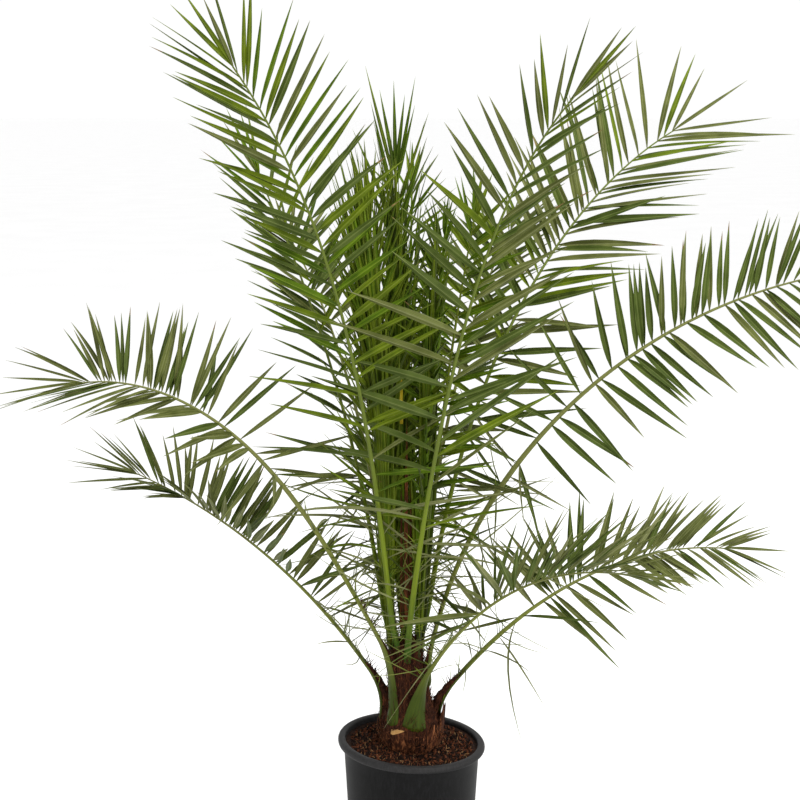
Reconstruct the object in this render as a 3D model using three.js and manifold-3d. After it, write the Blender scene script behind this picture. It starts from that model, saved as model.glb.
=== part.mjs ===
// A young Canary Island date palm growing in a round black nursery pot.
// Millimetres, +Z up. The origin is the centre of the pot's flat underside,
// and the photograph looks along +Y with +X to the right.

import * as THREE from 'three';
import { ConvexGeometry } from 'three/addons/geometries/ConvexGeometry.js';
import { mergeVertices } from 'three/addons/utils/BufferGeometryUtils.js';
import Module from 'manifold-3d';

const wasm = await Module();
wasm.setup();

// Gap kept between pieces that touch, and between leaflets of different fronds.
const clearance = 0.3;
const leafletClearance = 0.8;

// Corners nearer than this are one corner.
const weldDistance = 1e-3;

const pot = {
  height: 291,
  rimRadius: 150,
  mouthRadius: 138,
  footRadius: 122,
  footBevel: 4,
  wall: 3,
  rimHeight: 14,
  rimRound: 5,
  segments: 48,
};

const soil = {
  belowRim: 13,
  edgeDrop: 6,
  flatShare: 0.7,
};

// The short stem: radius at each share of its height, and how far its tip leans.
const trunk = {
  height: 207,
  lean: -12,
  flareRadius: 64,
  waistRadius: 45,
  neckRadius: 33,
  capRadius: 21,
  flareShare: 0.13,
  waistShare: 0.33,
  neckShare: 0.85,
  capShare: 0.957,
  segments: 24,
};

// A ring of brown stubs of old leaves round the foot of the stem, which begins at the front left
// with the one that was cut off square and is pale inside.
const stubRing = {
  places: 9,
  firstAngle: 242,
  shoulderShare: 0.6,
  shoulderSteps: 4,
};
const oldBase = { height: 40, width: 34, tipWidth: 14, thickness: 9, splay: 20, sink: 5 };
const cutStub = { height: 42, width: 30, tipWidth: 24, thickness: 14, splay: 18, sink: 6 };

// Rib sizes shared by all fronds: the width and depth where a stalk clasps the stem,
// where it comes free, at the first leaflets and at the end.
const rib = {
  claspWidth: 34,
  claspDepth: 9,
  claspFade: 30,
  stalkWidth: 14,
  stalkDepth: 11,
  leafyWidth: 9,
  leafyDepth: 8,
  tipWidth: 3.5,
  tipDepth: 3,
  sunk: 2,
  steps: 30,
  stalkRings: 6,
  stalkRingBunching: 1.5,
  turnShare: 0.12,
};

// Leaflets stand in pairs. Angle is from the rib and lift is out of the blade's plane. The middle
// angle and the full length hold from one share of the leafy part to another.
const leaflet = {
  pitch: 40,
  root: 12,
  thickness: 2.4,
  width: 22,
  crowding: 0.72,
  widestShare: 0.35,
  angleRoot: 62,
  angleMiddle: 46,
  angleTip: 24,
  liftRoot: 34,
  liftTip: 16,
  lengthRoot: 0.8,
  lengthTip: 0.85,
  middleFrom: 0.3,
  middleTo: 0.6,
  endLength: 0.75,
  wobble: 8,
};

// Ways that a leaflet gives way to another frond: change of lift and share of length.
const leafletTries = [
  [0, 1],
  [-16, 1],
  [16, 1],
  [0, 0.75],
  [-28, 0.8],
  [28, 0.8],
  [0, 0.5],
];

// Fronds by age. Height is where the stalk leaves the stem, clasp is how far it hugs the
// stem below that, bare is the share of the rib with no leaflets, leaf is the longest
// leaflet and spread multiplies the leaflets' angle.
const low = { height: 375, clasp: 55, bare: 0.33, leaf: 175, spread: 1.25, colour: 0x3f5b2c };
const arching = { height: 430, clasp: 80, bare: 0.38, leaf: 200, spread: 1.45, colour: 0x445f2f };
const tall = { height: 450, clasp: 30, bare: 0.26, leaf: 220, spread: 1, colour: 0x55772f };
const young = { height: 470, clasp: 12, bare: 0.3, leaf: 200, spread: 0.9, colour: 0x6d8a3a };

// Azimuth is where a frond points, and foot is where it grows round the stem if that is
// elsewhere. The rib starts at the slope rise and ends at tip: the higher bend is, the
// later it arches. Roll turns the blade about its rib.
const fronds = [
  { ...young, name: 'spear', azimuth: 165, height: 484, radius: 3, clasp: 0, length: 950,
    rise: 89, tip: 88.6, bend: 1, roll: 0, leaf: 240, spread: 0.38 },
  { ...tall, name: 'frond_tall_left', azimuth: 235, length: 1290,
    rise: 81, tip: 43, bend: 2, roll: 30 },
  { ...tall, name: 'frond_tall_front', azimuth: 306, foot: 272, length: 1274,
    rise: 76, tip: 39.5, bend: 3, roll: -40, leaf: 200 },
  { ...tall, name: 'frond_tall_right', azimuth: 36, length: 1316,
    rise: 81, tip: 23, bend: 1.45, roll: 40, leaf: 245 },
  { ...tall, name: 'frond_tall_rear', azimuth: 158, length: 1020,
    rise: 83, tip: 63, bend: 1.2, roll: -30, leaf: 200 },
  { ...arching, name: 'frond_arch_left', azimuth: 182, foot: 212, height: 400, clasp: 64, length: 942,
    rise: 70, tip: -3, bend: 2.1, roll: -30 },
  { ...arching, name: 'frond_arch_right', azimuth: 2, foot: -12, length: 1240,
    rise: 82, tip: 8, bend: 1, roll: 55, leaf: 185 },
  { ...arching, name: 'frond_arch_rear_left', azimuth: 120, length: 1020,
    rise: 80, tip: 34, bend: 1.3, roll: 0, spread: 1.1 },
  { ...arching, name: 'frond_arch_rear_right', azimuth: 66, length: 1050,
    rise: 79, tip: 30, bend: 1.3, roll: 0, spread: 1.1 },
  { ...low, name: 'frond_low_left', azimuth: 172, height: 385, length: 670,
    rise: 57, tip: 22, bend: 1.15, roll: -10 },
  { ...low, name: 'frond_low_front', azimuth: 322, foot: 296, height: 400, clasp: 70, length: 615,
    rise: 57.5, tip: 2, bend: 1.5, roll: 20 },
  { ...low, name: 'frond_low_right', azimuth: 12, foot: 18, height: 355, clasp: 35, length: 726,
    rise: 49.5, tip: -8, bend: 1.35, roll: 35 },
  { ...low, name: 'frond_low_rear', azimuth: 95, length: 720,
    rise: 62, tip: 20, bend: 1, roll: 0 },
  { ...young, name: 'frond_young_rear', azimuth: 87, length: 960,
    rise: 86, tip: 64, bend: 1.5, roll: 0 },
  { ...young, name: 'frond_young_left', azimuth: 198, length: 880,
    rise: 89, tip: 85, bend: 1.5, roll: 0, spread: 0.7 },
  { ...young, name: 'frond_young_right', azimuth: 10, length: 880,
    rise: 87, tip: 79, bend: 1.3, roll: 40 },
  { ...young, name: 'frond_young_front', azimuth: 335, foot: 325, height: 474, length: 850,
    rise: 89, tip: 83, bend: 1.5, roll: 0, spread: 0.6 },
];

const finishes = {
  pot: { color: 0x2b2c2e, roughness: 0.6 },
  soil: { color: 0x4a3225, roughness: 0.95 },
  trunk: { color: 0x5a3b28, roughness: 0.9 },
  oldBase: { color: 0x6b4329, roughness: 0.9 },
  cutStub: { color: 0xb98f5c, roughness: 0.8 },
};
const leafRoughness = 0.55;

const soilTop = pot.height - soil.belowRim;
const trunkFoot = soilTop + clearance;

function radians(degrees) {
  return THREE.MathUtils.degToRad(degrees);
}

function lerp(from, to, share) {
  return THREE.MathUtils.lerp(from, to, THREE.MathUtils.clamp(share, 0, 1));
}

// A repeatable number from -0.5 to 0.5.
function scatter(seed) {
  return THREE.MathUtils.seededRandom(seed) - 0.5;
}

// Cleans a geometry to shared positions with no flat triangles.
function cleaned(geometry) {
  geometry.deleteAttribute('normal');
  geometry.deleteAttribute('uv');
  const merged = mergeVertices(geometry, weldDistance);
  const corners = [];
  for (let i = 0; i < merged.index.count; i += 3) {
    const a = merged.index.getX(i);
    const b = merged.index.getX(i + 1);
    const c = merged.index.getX(i + 2);
    if (a !== b && b !== c && c !== a) corners.push(a, b, c);
  }
  merged.setIndex(corners);
  return merged;
}

function solidOf(geometry) {
  const clean = cleaned(geometry);
  return new wasm.Manifold(new wasm.Mesh({
    numProp: 3,
    vertProperties: new Float32Array(clean.attributes.position.array),
    triVerts: new Uint32Array(clean.index.array),
  }));
}

// The largest connected body of a solid, as a geometry.
function geometryOf(solid) {
  const bodies = solid.decompose();
  const whole = bodies.reduce((best, body) => (body.volume() > best.volume() ? body : best));
  const mesh = whole.getMesh();
  const geometry = new THREE.BufferGeometry();
  geometry.setAttribute('position', new THREE.BufferAttribute(new Float32Array(mesh.vertProperties), 3));
  geometry.setIndex(Array.from(mesh.triVerts));
  return geometry;
}

function meshOf(name, geometry, finish) {
  geometry.computeVertexNormals();
  const mesh = new THREE.Mesh(geometry, new THREE.MeshStandardMaterial({ ...finish, metalness: 0 }));
  mesh.name = name;
  return mesh;
}

// A solid of revolution about +Z from [radius, height] pairs.
function turned(profile, segments) {
  const points = profile.map(([radius, height]) => new THREE.Vector2(radius, height));
  return cleaned(new THREE.LatheGeometry(points, segments).rotateX(Math.PI / 2));
}

// Outer radius of the pot's sloping wall at a height.
function potRadiusAt(height) {
  return lerp(pot.footRadius, pot.mouthRadius, height / (pot.height - pot.rimHeight));
}

function potGeometry() {
  const underRim = pot.height - pot.rimHeight;
  const insideTop = pot.mouthRadius - pot.wall;
  return turned([
    [0, 0],
    [pot.footRadius - pot.footBevel, 0],
    [pot.footRadius, pot.footBevel],
    [pot.mouthRadius, underRim - pot.rimRound],
    [pot.rimRadius - pot.rimRound, underRim],
    [pot.rimRadius, underRim + pot.rimRound],
    [pot.rimRadius, pot.height - pot.rimRound],
    [pot.rimRadius - pot.rimRound, pot.height],
    [insideTop + pot.rimRound, pot.height],
    [insideTop, pot.height - pot.rimRound],
    [insideTop, underRim - pot.rimRound],
    [potRadiusAt(pot.wall) - pot.wall, pot.wall],
    [0, pot.wall],
  ], pot.segments);
}

function soilGeometry() {
  const inset = pot.wall + clearance;
  const floor = pot.wall + clearance;
  const edge = soilTop - soil.edgeDrop;
  const edgeRadius = potRadiusAt(edge) - inset;
  return turned([
    [0, floor],
    [potRadiusAt(floor) - inset, floor],
    [edgeRadius, edge],
    [edgeRadius * soil.flatShare, soilTop],
    [0, soilTop],
  ], pot.segments);
}

// Radii of the stem from its cut foot to its tip, as [share of height, radius].
const trunkRadii = [
  [0, trunk.flareRadius],
  [trunk.flareShare, (trunk.flareRadius + trunk.waistRadius) / 2],
  [trunk.waistShare, trunk.waistRadius],
  [trunk.neckShare, trunk.neckRadius],
  [trunk.capShare, trunk.capRadius],
  [1, 0],
];

function trunkRadiusAt(height) {
  const share = (height - trunkFoot) / trunk.height;
  const next = Math.max(1, trunkRadii.findIndex(([end]) => end >= share));
  const [fromShare, fromRadius] = trunkRadii[next - 1];
  const [toShare, toRadius] = trunkRadii[next];
  return lerp(fromRadius, toRadius, (share - fromShare) / (toShare - fromShare));
}

// Centre of the leaning stem at a height.
function trunkAxisAt(height) {
  return new THREE.Vector3(trunk.lean * (height - trunkFoot) / trunk.height, 0, height);
}

// The stem, grown by a margin on all sides except its flat foot.
function trunkGeometry(margin) {
  const profile = trunkRadii.map(([share, radius]) => [
    radius + (radius > 0 ? margin : 0),
    trunkFoot + share * trunk.height + (share === 1 ? margin : 0),
  ]);
  const slant = trunk.lean / trunk.height;
  const geometry = turned([[0, trunkFoot], ...profile], trunk.segments);
  return geometry.applyMatrix4(new THREE.Matrix4().set(
    1, 0, slant, -slant * trunkFoot,
    0, 1, 0, 0,
    0, 0, 1, 0,
    0, 0, 0, 1,
  ));
}

const trunkMargin = solidOf(trunkGeometry(clearance));

// A shield-shaped scale that leans out from the stem, cut to sit against it.
function stubGeometry({ height, width, tipWidth, thickness, splay, sink }, angle) {
  const outline = new THREE.Shape();
  const shoulder = height * stubRing.shoulderShare;
  outline.moveTo(-width / 2, 0);
  outline.lineTo(width / 2, 0);
  outline.quadraticCurveTo(width / 2, shoulder, tipWidth / 2, height);
  outline.lineTo(-tipWidth / 2, height);
  outline.quadraticCurveTo(-width / 2, shoulder, -width / 2, 0);
  const plate = new THREE.ExtrudeGeometry(outline, {
    depth: thickness,
    bevelEnabled: false,
    curveSegments: stubRing.shoulderSteps,
  });
  plate.rotateX(Math.PI / 2);
  plate.translate(0, thickness, 0);
  plate.rotateX(-radians(splay));
  plate.translate(0, trunk.flareRadius - sink, trunkFoot + thickness * Math.sin(radians(splay)));
  plate.rotateZ(radians(angle - 90));
  return geometryOf(solidOf(plate).subtract(trunkMargin));
}

function headingOf(frond, share) {
  const foot = frond.foot ?? frond.azimuth;
  const left = Math.exp(-Math.max(0, share) / rib.turnShare);
  return radians(frond.azimuth + (foot - frond.azimuth) * left);
}

// The line of a frond's rib: up the stem along its clasp, then out in one arch.
function ribCurve(frond) {
  const heading = headingOf(frond, 0);
  const outward = new THREE.Vector3(Math.cos(heading), Math.sin(heading), 0);
  const claspShares = frond.clasp > 0 ? [1, 0.5, 0] : [0];
  const points = claspShares.map((share) => {
    const height = frond.height - share * frond.clasp;
    const radius = frond.radius ?? trunkRadiusAt(height) + rib.claspDepth / 2 - rib.sunk;
    return trunkAxisAt(height).addScaledVector(outward, radius);
  });
  const point = points[points.length - 1].clone();
  for (let step = 0; step < rib.steps; step += 1) {
    const share = (step + 0.5) / rib.steps;
    const slope = radians(lerp(frond.rise, frond.tip, share ** frond.bend));
    const turn = headingOf(frond, share);
    const flat = Math.cos(slope);
    const along = new THREE.Vector3(flat * Math.cos(turn), flat * Math.sin(turn), Math.sin(slope));
    point.addScaledVector(along, frond.length / rib.steps);
    points.push(point.clone());
  }
  return new THREE.CatmullRomCurve3(points);
}

// Place and directions at a distance along the rib: along it, to its side and out of its blade.
function ribFrame(frond, curve, distance) {
  const whole = curve.getLength();
  const share = (distance - (whole - frond.length)) / frond.length;
  const at = THREE.MathUtils.clamp(distance / whole, 0, 1);
  const along = curve.getTangentAt(at);
  const heading = headingOf(frond, share);
  const side = new THREE.Vector3(-Math.sin(heading), Math.cos(heading), 0);
  side.addScaledVector(along, -side.dot(along)).normalize();
  side.applyAxisAngle(along, radians(lerp(0, frond.roll, share / frond.bare)));
  const out = new THREE.Vector3().crossVectors(along, side);
  return { point: curve.getPointAt(at), along, side, out, share };
}

// Half width and half depth of the rib at a frame.
function ribSize(frond, share, margin) {
  if (share < frond.bare) {
    const free = Math.max(0, share) * frond.length;
    const held = frond.clasp > 0 ? Math.exp(-free / rib.claspFade) : 0;
    const stalk = share / frond.bare;
    return [
      lerp(lerp(rib.stalkWidth, rib.leafyWidth, stalk), rib.claspWidth, held) / 2 + margin,
      lerp(lerp(rib.stalkDepth, rib.leafyDepth, stalk), rib.claspDepth, held) / 2 + margin,
    ];
  }
  const leafy = (share - frond.bare) / (1 - frond.bare);
  return [
    lerp(rib.leafyWidth, rib.tipWidth, leafy) / 2 + margin,
    lerp(rib.leafyDepth, rib.tipDepth, leafy) / 2 + margin,
  ];
}

// Four corners of the rib: up-side, up-other side, down-other side, down-side.
function ribRing(frond, curve, distance, margin) {
  const frame = ribFrame(frond, curve, distance);
  const [halfWidth, halfDepth] = ribSize(frond, frame.share, margin);
  return [[1, 1], [-1, 1], [-1, -1], [1, -1]].map(([acrossSign, outSign]) => frame.point.clone()
    .addScaledVector(frame.side, acrossSign * halfWidth)
    .addScaledVector(frame.out, outSign * halfDepth));
}

// Distances of a frond's rings: down the bare stalk, then one pair for each pair of leaflets.
function ringPlan(frond, curve) {
  const whole = curve.getLength();
  const clasp = whole - frond.length;
  const leafyStart = clasp + frond.bare * frond.length;
  const leafyLength = frond.length * (1 - frond.bare);
  const pairs = Math.round(leafyLength / leaflet.pitch);
  const distances = [];
  for (let ring = 0; ring < rib.stalkRings; ring += 1) {
    distances.push(leafyStart * (ring / rib.stalkRings) ** rib.stalkRingBunching);
  }
  const firstPair = distances.length;
  for (let pair = 0; pair < pairs; pair += 1) {
    const centre = leafyStart + leafyLength * (pair + 0.5) / pairs;
    distances.push(centre - leaflet.root / 2, centre + leaflet.root / 2);
  }
  return { distances, firstPair, pairs };
}

// The leaflet's law: its angle, lift, length and width at a share of the leafy part.
function leafletLaw(frond, share) {
  const overShare = (root, middle, tip) => lerp(
    lerp(root, middle, share / leaflet.middleFrom),
    tip,
    (share - leaflet.middleTo) / (1 - leaflet.middleTo),
  );
  const angle = radians(frond.spread * overShare(leaflet.angleRoot, leaflet.angleMiddle, leaflet.angleTip));
  return {
    angle,
    lift: lerp(leaflet.liftRoot, leaflet.liftTip, share),
    length: frond.leaf * overShare(leaflet.lengthRoot, 1, leaflet.lengthTip),
    width: Math.min(leaflet.width, leaflet.crowding * leaflet.pitch * Math.sin(angle)),
  };
}

// A leaflet on one side of the rib: the four corners of its widest section and its tip.
function leafletShape(frame, law, sign, liftChange, lengthShare, margin) {
  const lift = radians(law.lift + liftChange);
  const across = frame.side.clone().multiplyScalar(sign * Math.cos(lift))
    .addScaledVector(frame.out, Math.sin(lift));
  const face = frame.out.clone().multiplyScalar(Math.cos(lift))
    .addScaledVector(frame.side, -sign * Math.sin(lift));
  const along = frame.along.clone().multiplyScalar(Math.cos(law.angle))
    .addScaledVector(across, Math.sin(law.angle));
  const edge = frame.along.clone().multiplyScalar(Math.sin(law.angle))
    .addScaledVector(across, -Math.cos(law.angle));
  const length = law.length * lengthShare;
  const middle = frame.point.clone().addScaledVector(along, length * leaflet.widestShare);
  const halfWidth = law.width / 2 + margin;
  const halfThickness = leaflet.thickness / 2 + margin;
  const corner = (edgeSign, faceSign) => middle.clone()
    .addScaledVector(edge, edgeSign * halfWidth)
    .addScaledVector(face, faceSign * halfThickness);
  return {
    section: { nearUp: corner(-1, 1), nearDown: corner(-1, -1), farUp: corner(1, 1), farDown: corner(1, -1) },
    tip: frame.point.clone().addScaledVector(along, length + margin),
  };
}

function solidBox(solid) {
  const bounds = solid.boundingBox();
  return new THREE.Box3(new THREE.Vector3(...bounds.min), new THREE.Vector3(...bounds.max));
}

// Faces of the rib that carry leaflets, counted round its ring of corners.
const faceOf = { left: 1, right: 3 };

// A closed comb: the rib as a four-sided rod, with a leaflet drawn out of each side face
// that has one.
function combGeometry(rings, end, leafletsByFace) {
  const corners = [];
  const triangles = [];
  const add = (point) => corners.push(point) - 1;
  const quad = (a, b, c, d) => triangles.push(a, b, c, a, c, d);
  const ringIds = rings.map((ring) => ring.map(add));
  const first = ringIds[0];
  quad(first[0], first[3], first[2], first[1]);
  for (let ring = 0; ring + 1 < ringIds.length; ring += 1) {
    for (let face = 0; face < 4; face += 1) {
      const next = (face + 1) % 4;
      const loop = [
        ringIds[ring][face],
        ringIds[ring][next],
        ringIds[ring + 1][next],
        ringIds[ring + 1][face],
      ];
      const grown = leafletsByFace.get(`${ring}:${face}`);
      if (!grown) {
        quad(...loop);
        continue;
      }
      const { nearUp, nearDown, farUp, farDown } = grown.section;
      const around = face === faceOf.left
        ? [nearUp, nearDown, farDown, farUp]
        : [nearDown, nearUp, farUp, farDown];
      const section = around.map(add);
      const tip = add(grown.tip);
      for (let i = 0; i < 4; i += 1) {
        const j = (i + 1) % 4;
        quad(loop[i], loop[j], section[j], section[i]);
        triangles.push(section[i], section[j], tip);
      }
    }
  }
  const last = ringIds[ringIds.length - 1];
  const endId = add(end);
  for (let face = 0; face < 4; face += 1) triangles.push(last[face], last[(face + 1) % 4], endId);
  const geometry = new THREE.BufferGeometry();
  const positions = corners.flatMap((corner) => corner.toArray());
  geometry.setAttribute('position', new THREE.Float32BufferAttribute(positions, 3));
  geometry.setIndex(triangles);
  return geometry;
}

// Rings and end point of a frond, with a margin all round.
function ribRod(frond, margin) {
  const curve = ribCurve(frond);
  const plan = ringPlan(frond, curve);
  const whole = curve.getLength();
  const last = ribFrame(frond, curve, whole);
  const end = last.point.addScaledVector(last.along, frond.leaf * leaflet.endLength + margin);
  const rings = plan.distances.map((distance) => ribRing(frond, curve, distance, margin));
  return { curve, plan, rings, end };
}

// All ribs are settled first, so that no leaflet crosses one.
const obstacles = [];
for (const frond of fronds) {
  const grown = ribRod(frond, leafletClearance);
  const solid = solidOf(combGeometry(grown.rings, grown.end, new Map()));
  obstacles.push({ owner: frond.name, solid, box: solidBox(solid) });
}
obstacles.push({ owner: 'trunk', solid: trunkMargin, box: solidBox(trunkMargin) });

function standsClear(owner, points) {
  const box = new THREE.Box3().setFromPoints(points);
  const near = obstacles.filter((other) => other.owner !== owner && box.intersectsBox(other.box));
  if (near.length === 0) return { box, solid: null };
  const solid = solidOf(new ConvexGeometry(points));
  const free = near.every((other) => {
    other.solid ??= solidOf(new ConvexGeometry(other.points));
    return other.solid.intersect(solid).isEmpty();
  });
  return free ? { box, solid } : null;
}

// Finds room for each leaflet of a frond and leaves out those that have none.
function growLeaflets(frond, rod) {
  const byFace = new Map();
  const { plan, curve, rings } = rod;
  for (let pair = 0; pair < plan.pairs; pair += 1) {
    const ring = plan.firstPair + pair * 2;
    const centre = (plan.distances[ring] + plan.distances[ring + 1]) / 2;
    const frame = ribFrame(frond, curve, centre);
    for (const sign of [-1, 1]) {
      const law = leafletLaw(frond, (pair + 0.5) / plan.pairs);
      law.lift += leaflet.wobble * scatter(obstacles.length);
      const face = sign < 0 ? faceOf.left : faceOf.right;
      const root = [rings[ring], rings[ring + 1]].flatMap((loop) => [loop[face], loop[(face + 1) % 4]]);
      for (const [liftChange, lengthShare] of leafletTries) {
        const fat = leafletShape(frame, law, sign, liftChange, lengthShare, leafletClearance);
        const points = [...root, ...Object.values(fat.section), fat.tip];
        const clear = standsClear(frond.name, points);
        if (!clear) continue;
        obstacles.push({ owner: frond.name, points, ...clear });
        byFace.set(`${ring}:${face}`, leafletShape(frame, law, sign, liftChange, lengthShare, 0));
        break;
      }
    }
  }
  return byFace;
}

function frondGeometry(frond, earlierRibs) {
  const rod = ribRod(frond, 0);
  const comb = combGeometry(rod.rings, rod.end, growLeaflets(frond, rod));
  let solid = solidOf(comb).subtract(trunkMargin);
  for (const earlier of earlierRibs) {
    if (!solid.intersect(earlier.solid).isEmpty()) solid = solid.subtract(earlier.solid);
  }
  return geometryOf(solid);
}

const palm = new THREE.Group();
palm.add(meshOf('pot', potGeometry(), finishes.pot));
palm.add(meshOf('soil', soilGeometry(), finishes.soil));
palm.add(meshOf('trunk', trunkGeometry(0), finishes.trunk));
palm.add(meshOf('cut_stub', stubGeometry(cutStub, stubRing.firstAngle), finishes.cutStub));
for (let place = 1; place < stubRing.places; place += 1) {
  const angle = stubRing.firstAngle + place * 360 / stubRing.places;
  palm.add(meshOf(`old_leaf_base_${place}`, stubGeometry(oldBase, angle), finishes.oldBase));
}

fronds.forEach((frond, i) => {
  const earlierRibs = obstacles.slice(0, i);
  const finish = { color: frond.colour, roughness: leafRoughness };
  palm.add(meshOf(frond.name, frondGeometry(frond, earlierRibs), finish));
});

export default palm;
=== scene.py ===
import math
from functools import partial

import bpy
import numpy as np
from mathutils import Matrix, Vector, noise


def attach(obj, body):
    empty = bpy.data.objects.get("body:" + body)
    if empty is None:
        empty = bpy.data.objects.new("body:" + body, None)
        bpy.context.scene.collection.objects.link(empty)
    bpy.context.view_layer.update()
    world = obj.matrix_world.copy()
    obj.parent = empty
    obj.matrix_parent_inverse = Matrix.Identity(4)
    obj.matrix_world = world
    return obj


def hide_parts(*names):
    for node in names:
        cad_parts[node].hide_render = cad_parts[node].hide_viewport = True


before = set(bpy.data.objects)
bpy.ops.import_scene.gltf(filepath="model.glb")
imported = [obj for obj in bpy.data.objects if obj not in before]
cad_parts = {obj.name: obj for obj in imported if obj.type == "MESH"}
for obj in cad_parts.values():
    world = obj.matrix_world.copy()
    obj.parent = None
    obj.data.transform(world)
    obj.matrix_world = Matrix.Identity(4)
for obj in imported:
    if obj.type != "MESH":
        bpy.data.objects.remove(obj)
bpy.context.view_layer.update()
print("frame loaded:", len(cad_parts), "nodes")


# Small tools that every piece uses

def linear(code):  # sRGB hex to the linear colour that sockets take
    parts = [int(code[i:i + 2], 16) / 255 for i in (1, 3, 5)]
    return (*[c / 12.92 if c <= 0.04045 else ((c + 0.055) / 1.055) ** 2.4 for c in parts], 1)


def setNode(tree, node, settings, links):  # a link comes from a socket, or from a node's first output
    for key, value in (settings or {}).items():
        if key == "stops":
            ramp = node.color_ramp.elements
            while len(ramp) < len(value):
                ramp.new(0.5)
            for stop, (at, colour) in zip(ramp, value):
                stop.position = at
                stop.color = linear(colour) if isinstance(colour, str) else (*colour, 1)
        elif isinstance(key, str) and key in node.bl_rna.properties:
            setattr(node, key, value)
        else:
            node.inputs[key].default_value = value
    for key, source in (links or {}).items():
        tree.links.new(source.outputs[0] if isinstance(source, bpy.types.Node) else source, node.inputs[key])
    return node


def addNode(tree, kind, settings=None, links=None):  # a short kind is one of the shader nodes
    return setNode(tree, tree.nodes.new(kind if "Node" in kind else "ShaderNode" + kind), settings, links)


def newMaterial(name):  # gives also what adds a node to it, and what sets its shader
    material = bpy.data.materials.new(name)
    material.use_nodes = True
    tree = material.node_tree
    return material, partial(addNode, tree), partial(setNode, tree, tree.nodes["Principled BSDF"])


def makeMesh(name, points, faces, uv=None, uvName="pieceUv"):
    mesh = bpy.data.meshes.new(name)
    mesh.from_pydata(np.asarray(points).tolist(), [], [list(map(int, face)) for face in faces])
    if uv is not None:
        layer = mesh.uv_layers.new(name=uvName)
        corners = np.empty(len(mesh.loops), np.int32)
        mesh.loops.foreach_get("vertex_index", corners)
        layer.data.foreach_set("uv", np.asarray(uv, np.float32)[corners].ravel())
    mesh.update()
    return mesh


def makeObject(name, mesh):
    thing = bpy.data.objects.new(name, mesh)
    bpy.context.scene.collection.objects.link(thing)
    return thing


def shadeSmooth(mesh, sharpAbove):
    mesh.polygons.foreach_set("use_smooth", np.ones(len(mesh.polygons), bool))
    mesh.set_sharp_from_angle(angle=math.radians(sharpAbove))


def seat(piece, slotName, *nodes):
    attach(piece, "root")
    if nodes:
        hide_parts(*nodes)


def finishPiece(name, mesh, materials, sharpAbove, slotName, *nodes):
    for material in materials:
        mesh.materials.append(material)
    shadeSmooth(mesh, sharpAbove)
    seat(makeObject(name, mesh), slotName, *nodes)


def tubeFaces(rings, around, firstPoint=0):  # quads between rings of points, closed at both ends
    faces = []
    for ring in range(rings - 1):
        for i in range(around):
            j = (i + 1) % around
            a = firstPoint + ring * around
            faces.append((a + i, a + j, a + around + j, a + around + i))
    faces.append(tuple(firstPoint + i for i in reversed(range(around))))
    faces.append(tuple(firstPoint + (rings - 1) * around + i for i in range(around)))
    return faces


def turnsOf(count):  # even angles round a full turn
    return np.arange(count) * 2 * math.pi / count


def polar(angle, radius, height=0):
    return np.array([radius * math.cos(angle), radius * math.sin(angle), height])


def unit(vectors):
    return vectors / np.linalg.norm(vectors, axis=-1, keepdims=True)


def scaled(vectors, amounts):  # each vector times its own amount
    return vectors * amounts[:, None]


def upward(amounts):
    return np.c_[np.zeros((len(amounts), 2)), amounts]


def pointsAt(places, along, points):  # points on a line, at places measured as along is
    return np.stack([np.interp(places, along, points[:, k]) for k in range(3)], axis=-1)


def distanceAlong(points):
    return np.r_[0, np.cumsum(np.linalg.norm(np.diff(points, axis=0), axis=1))]


def spreadOut(values, share):  # values at even steps from 0 to 1
    return np.interp(share, np.linspace(0, 1, len(values)), values)


# what each point of a growth tree carries
growthKinds = {"turn": "QUATERNION", "stretch": "FLOAT_VECTOR", "bendWay": "FLOAT_VECTOR", "dryFrom": "FLOAT",
               "alongLeaf": "FLOAT"}


# a new node tree with named inputs, what adds a node to it, and what the inputs give
def growthTree(name, inputs):
    tree = bpy.data.node_groups.new(name, "GeometryNodeTree")
    for label, kind in {"Geometry": "Geometry", **inputs}.items():
        tree.interface.new_socket(label, in_out="INPUT", socket_type="NodeSocket" + kind)
    tree.interface.new_socket("Geometry", in_out="OUTPUT", socket_type="NodeSocketGeometry")
    return tree, partial(addNode, tree), addNode(tree, "NodeGroupInput").outputs


def growByNodes(name, source, tree, values):  # runs a node tree and keeps the result as a plain mesh
    modifier = source.modifiers.new("grow", "NODES")
    modifier.node_group = tree
    for item in tree.interface.items_tree:
        if item.item_type == "SOCKET" and item.in_out == "INPUT" and item.name in values:
            modifier[item.identifier] = values[item.name]
    graph = bpy.context.evaluated_depsgraph_get()
    mesh = bpy.data.meshes.new_from_object(source.evaluated_get(graph))
    source.modifiers.remove(modifier)
    mesh.name = name
    for label in [layer.name for layer in mesh.attributes if layer.name in growthKinds]:
        mesh.attributes.remove(mesh.attributes[label])
    bpy.data.objects.remove(source)
    return makeObject(name, mesh)


# Materials

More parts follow.
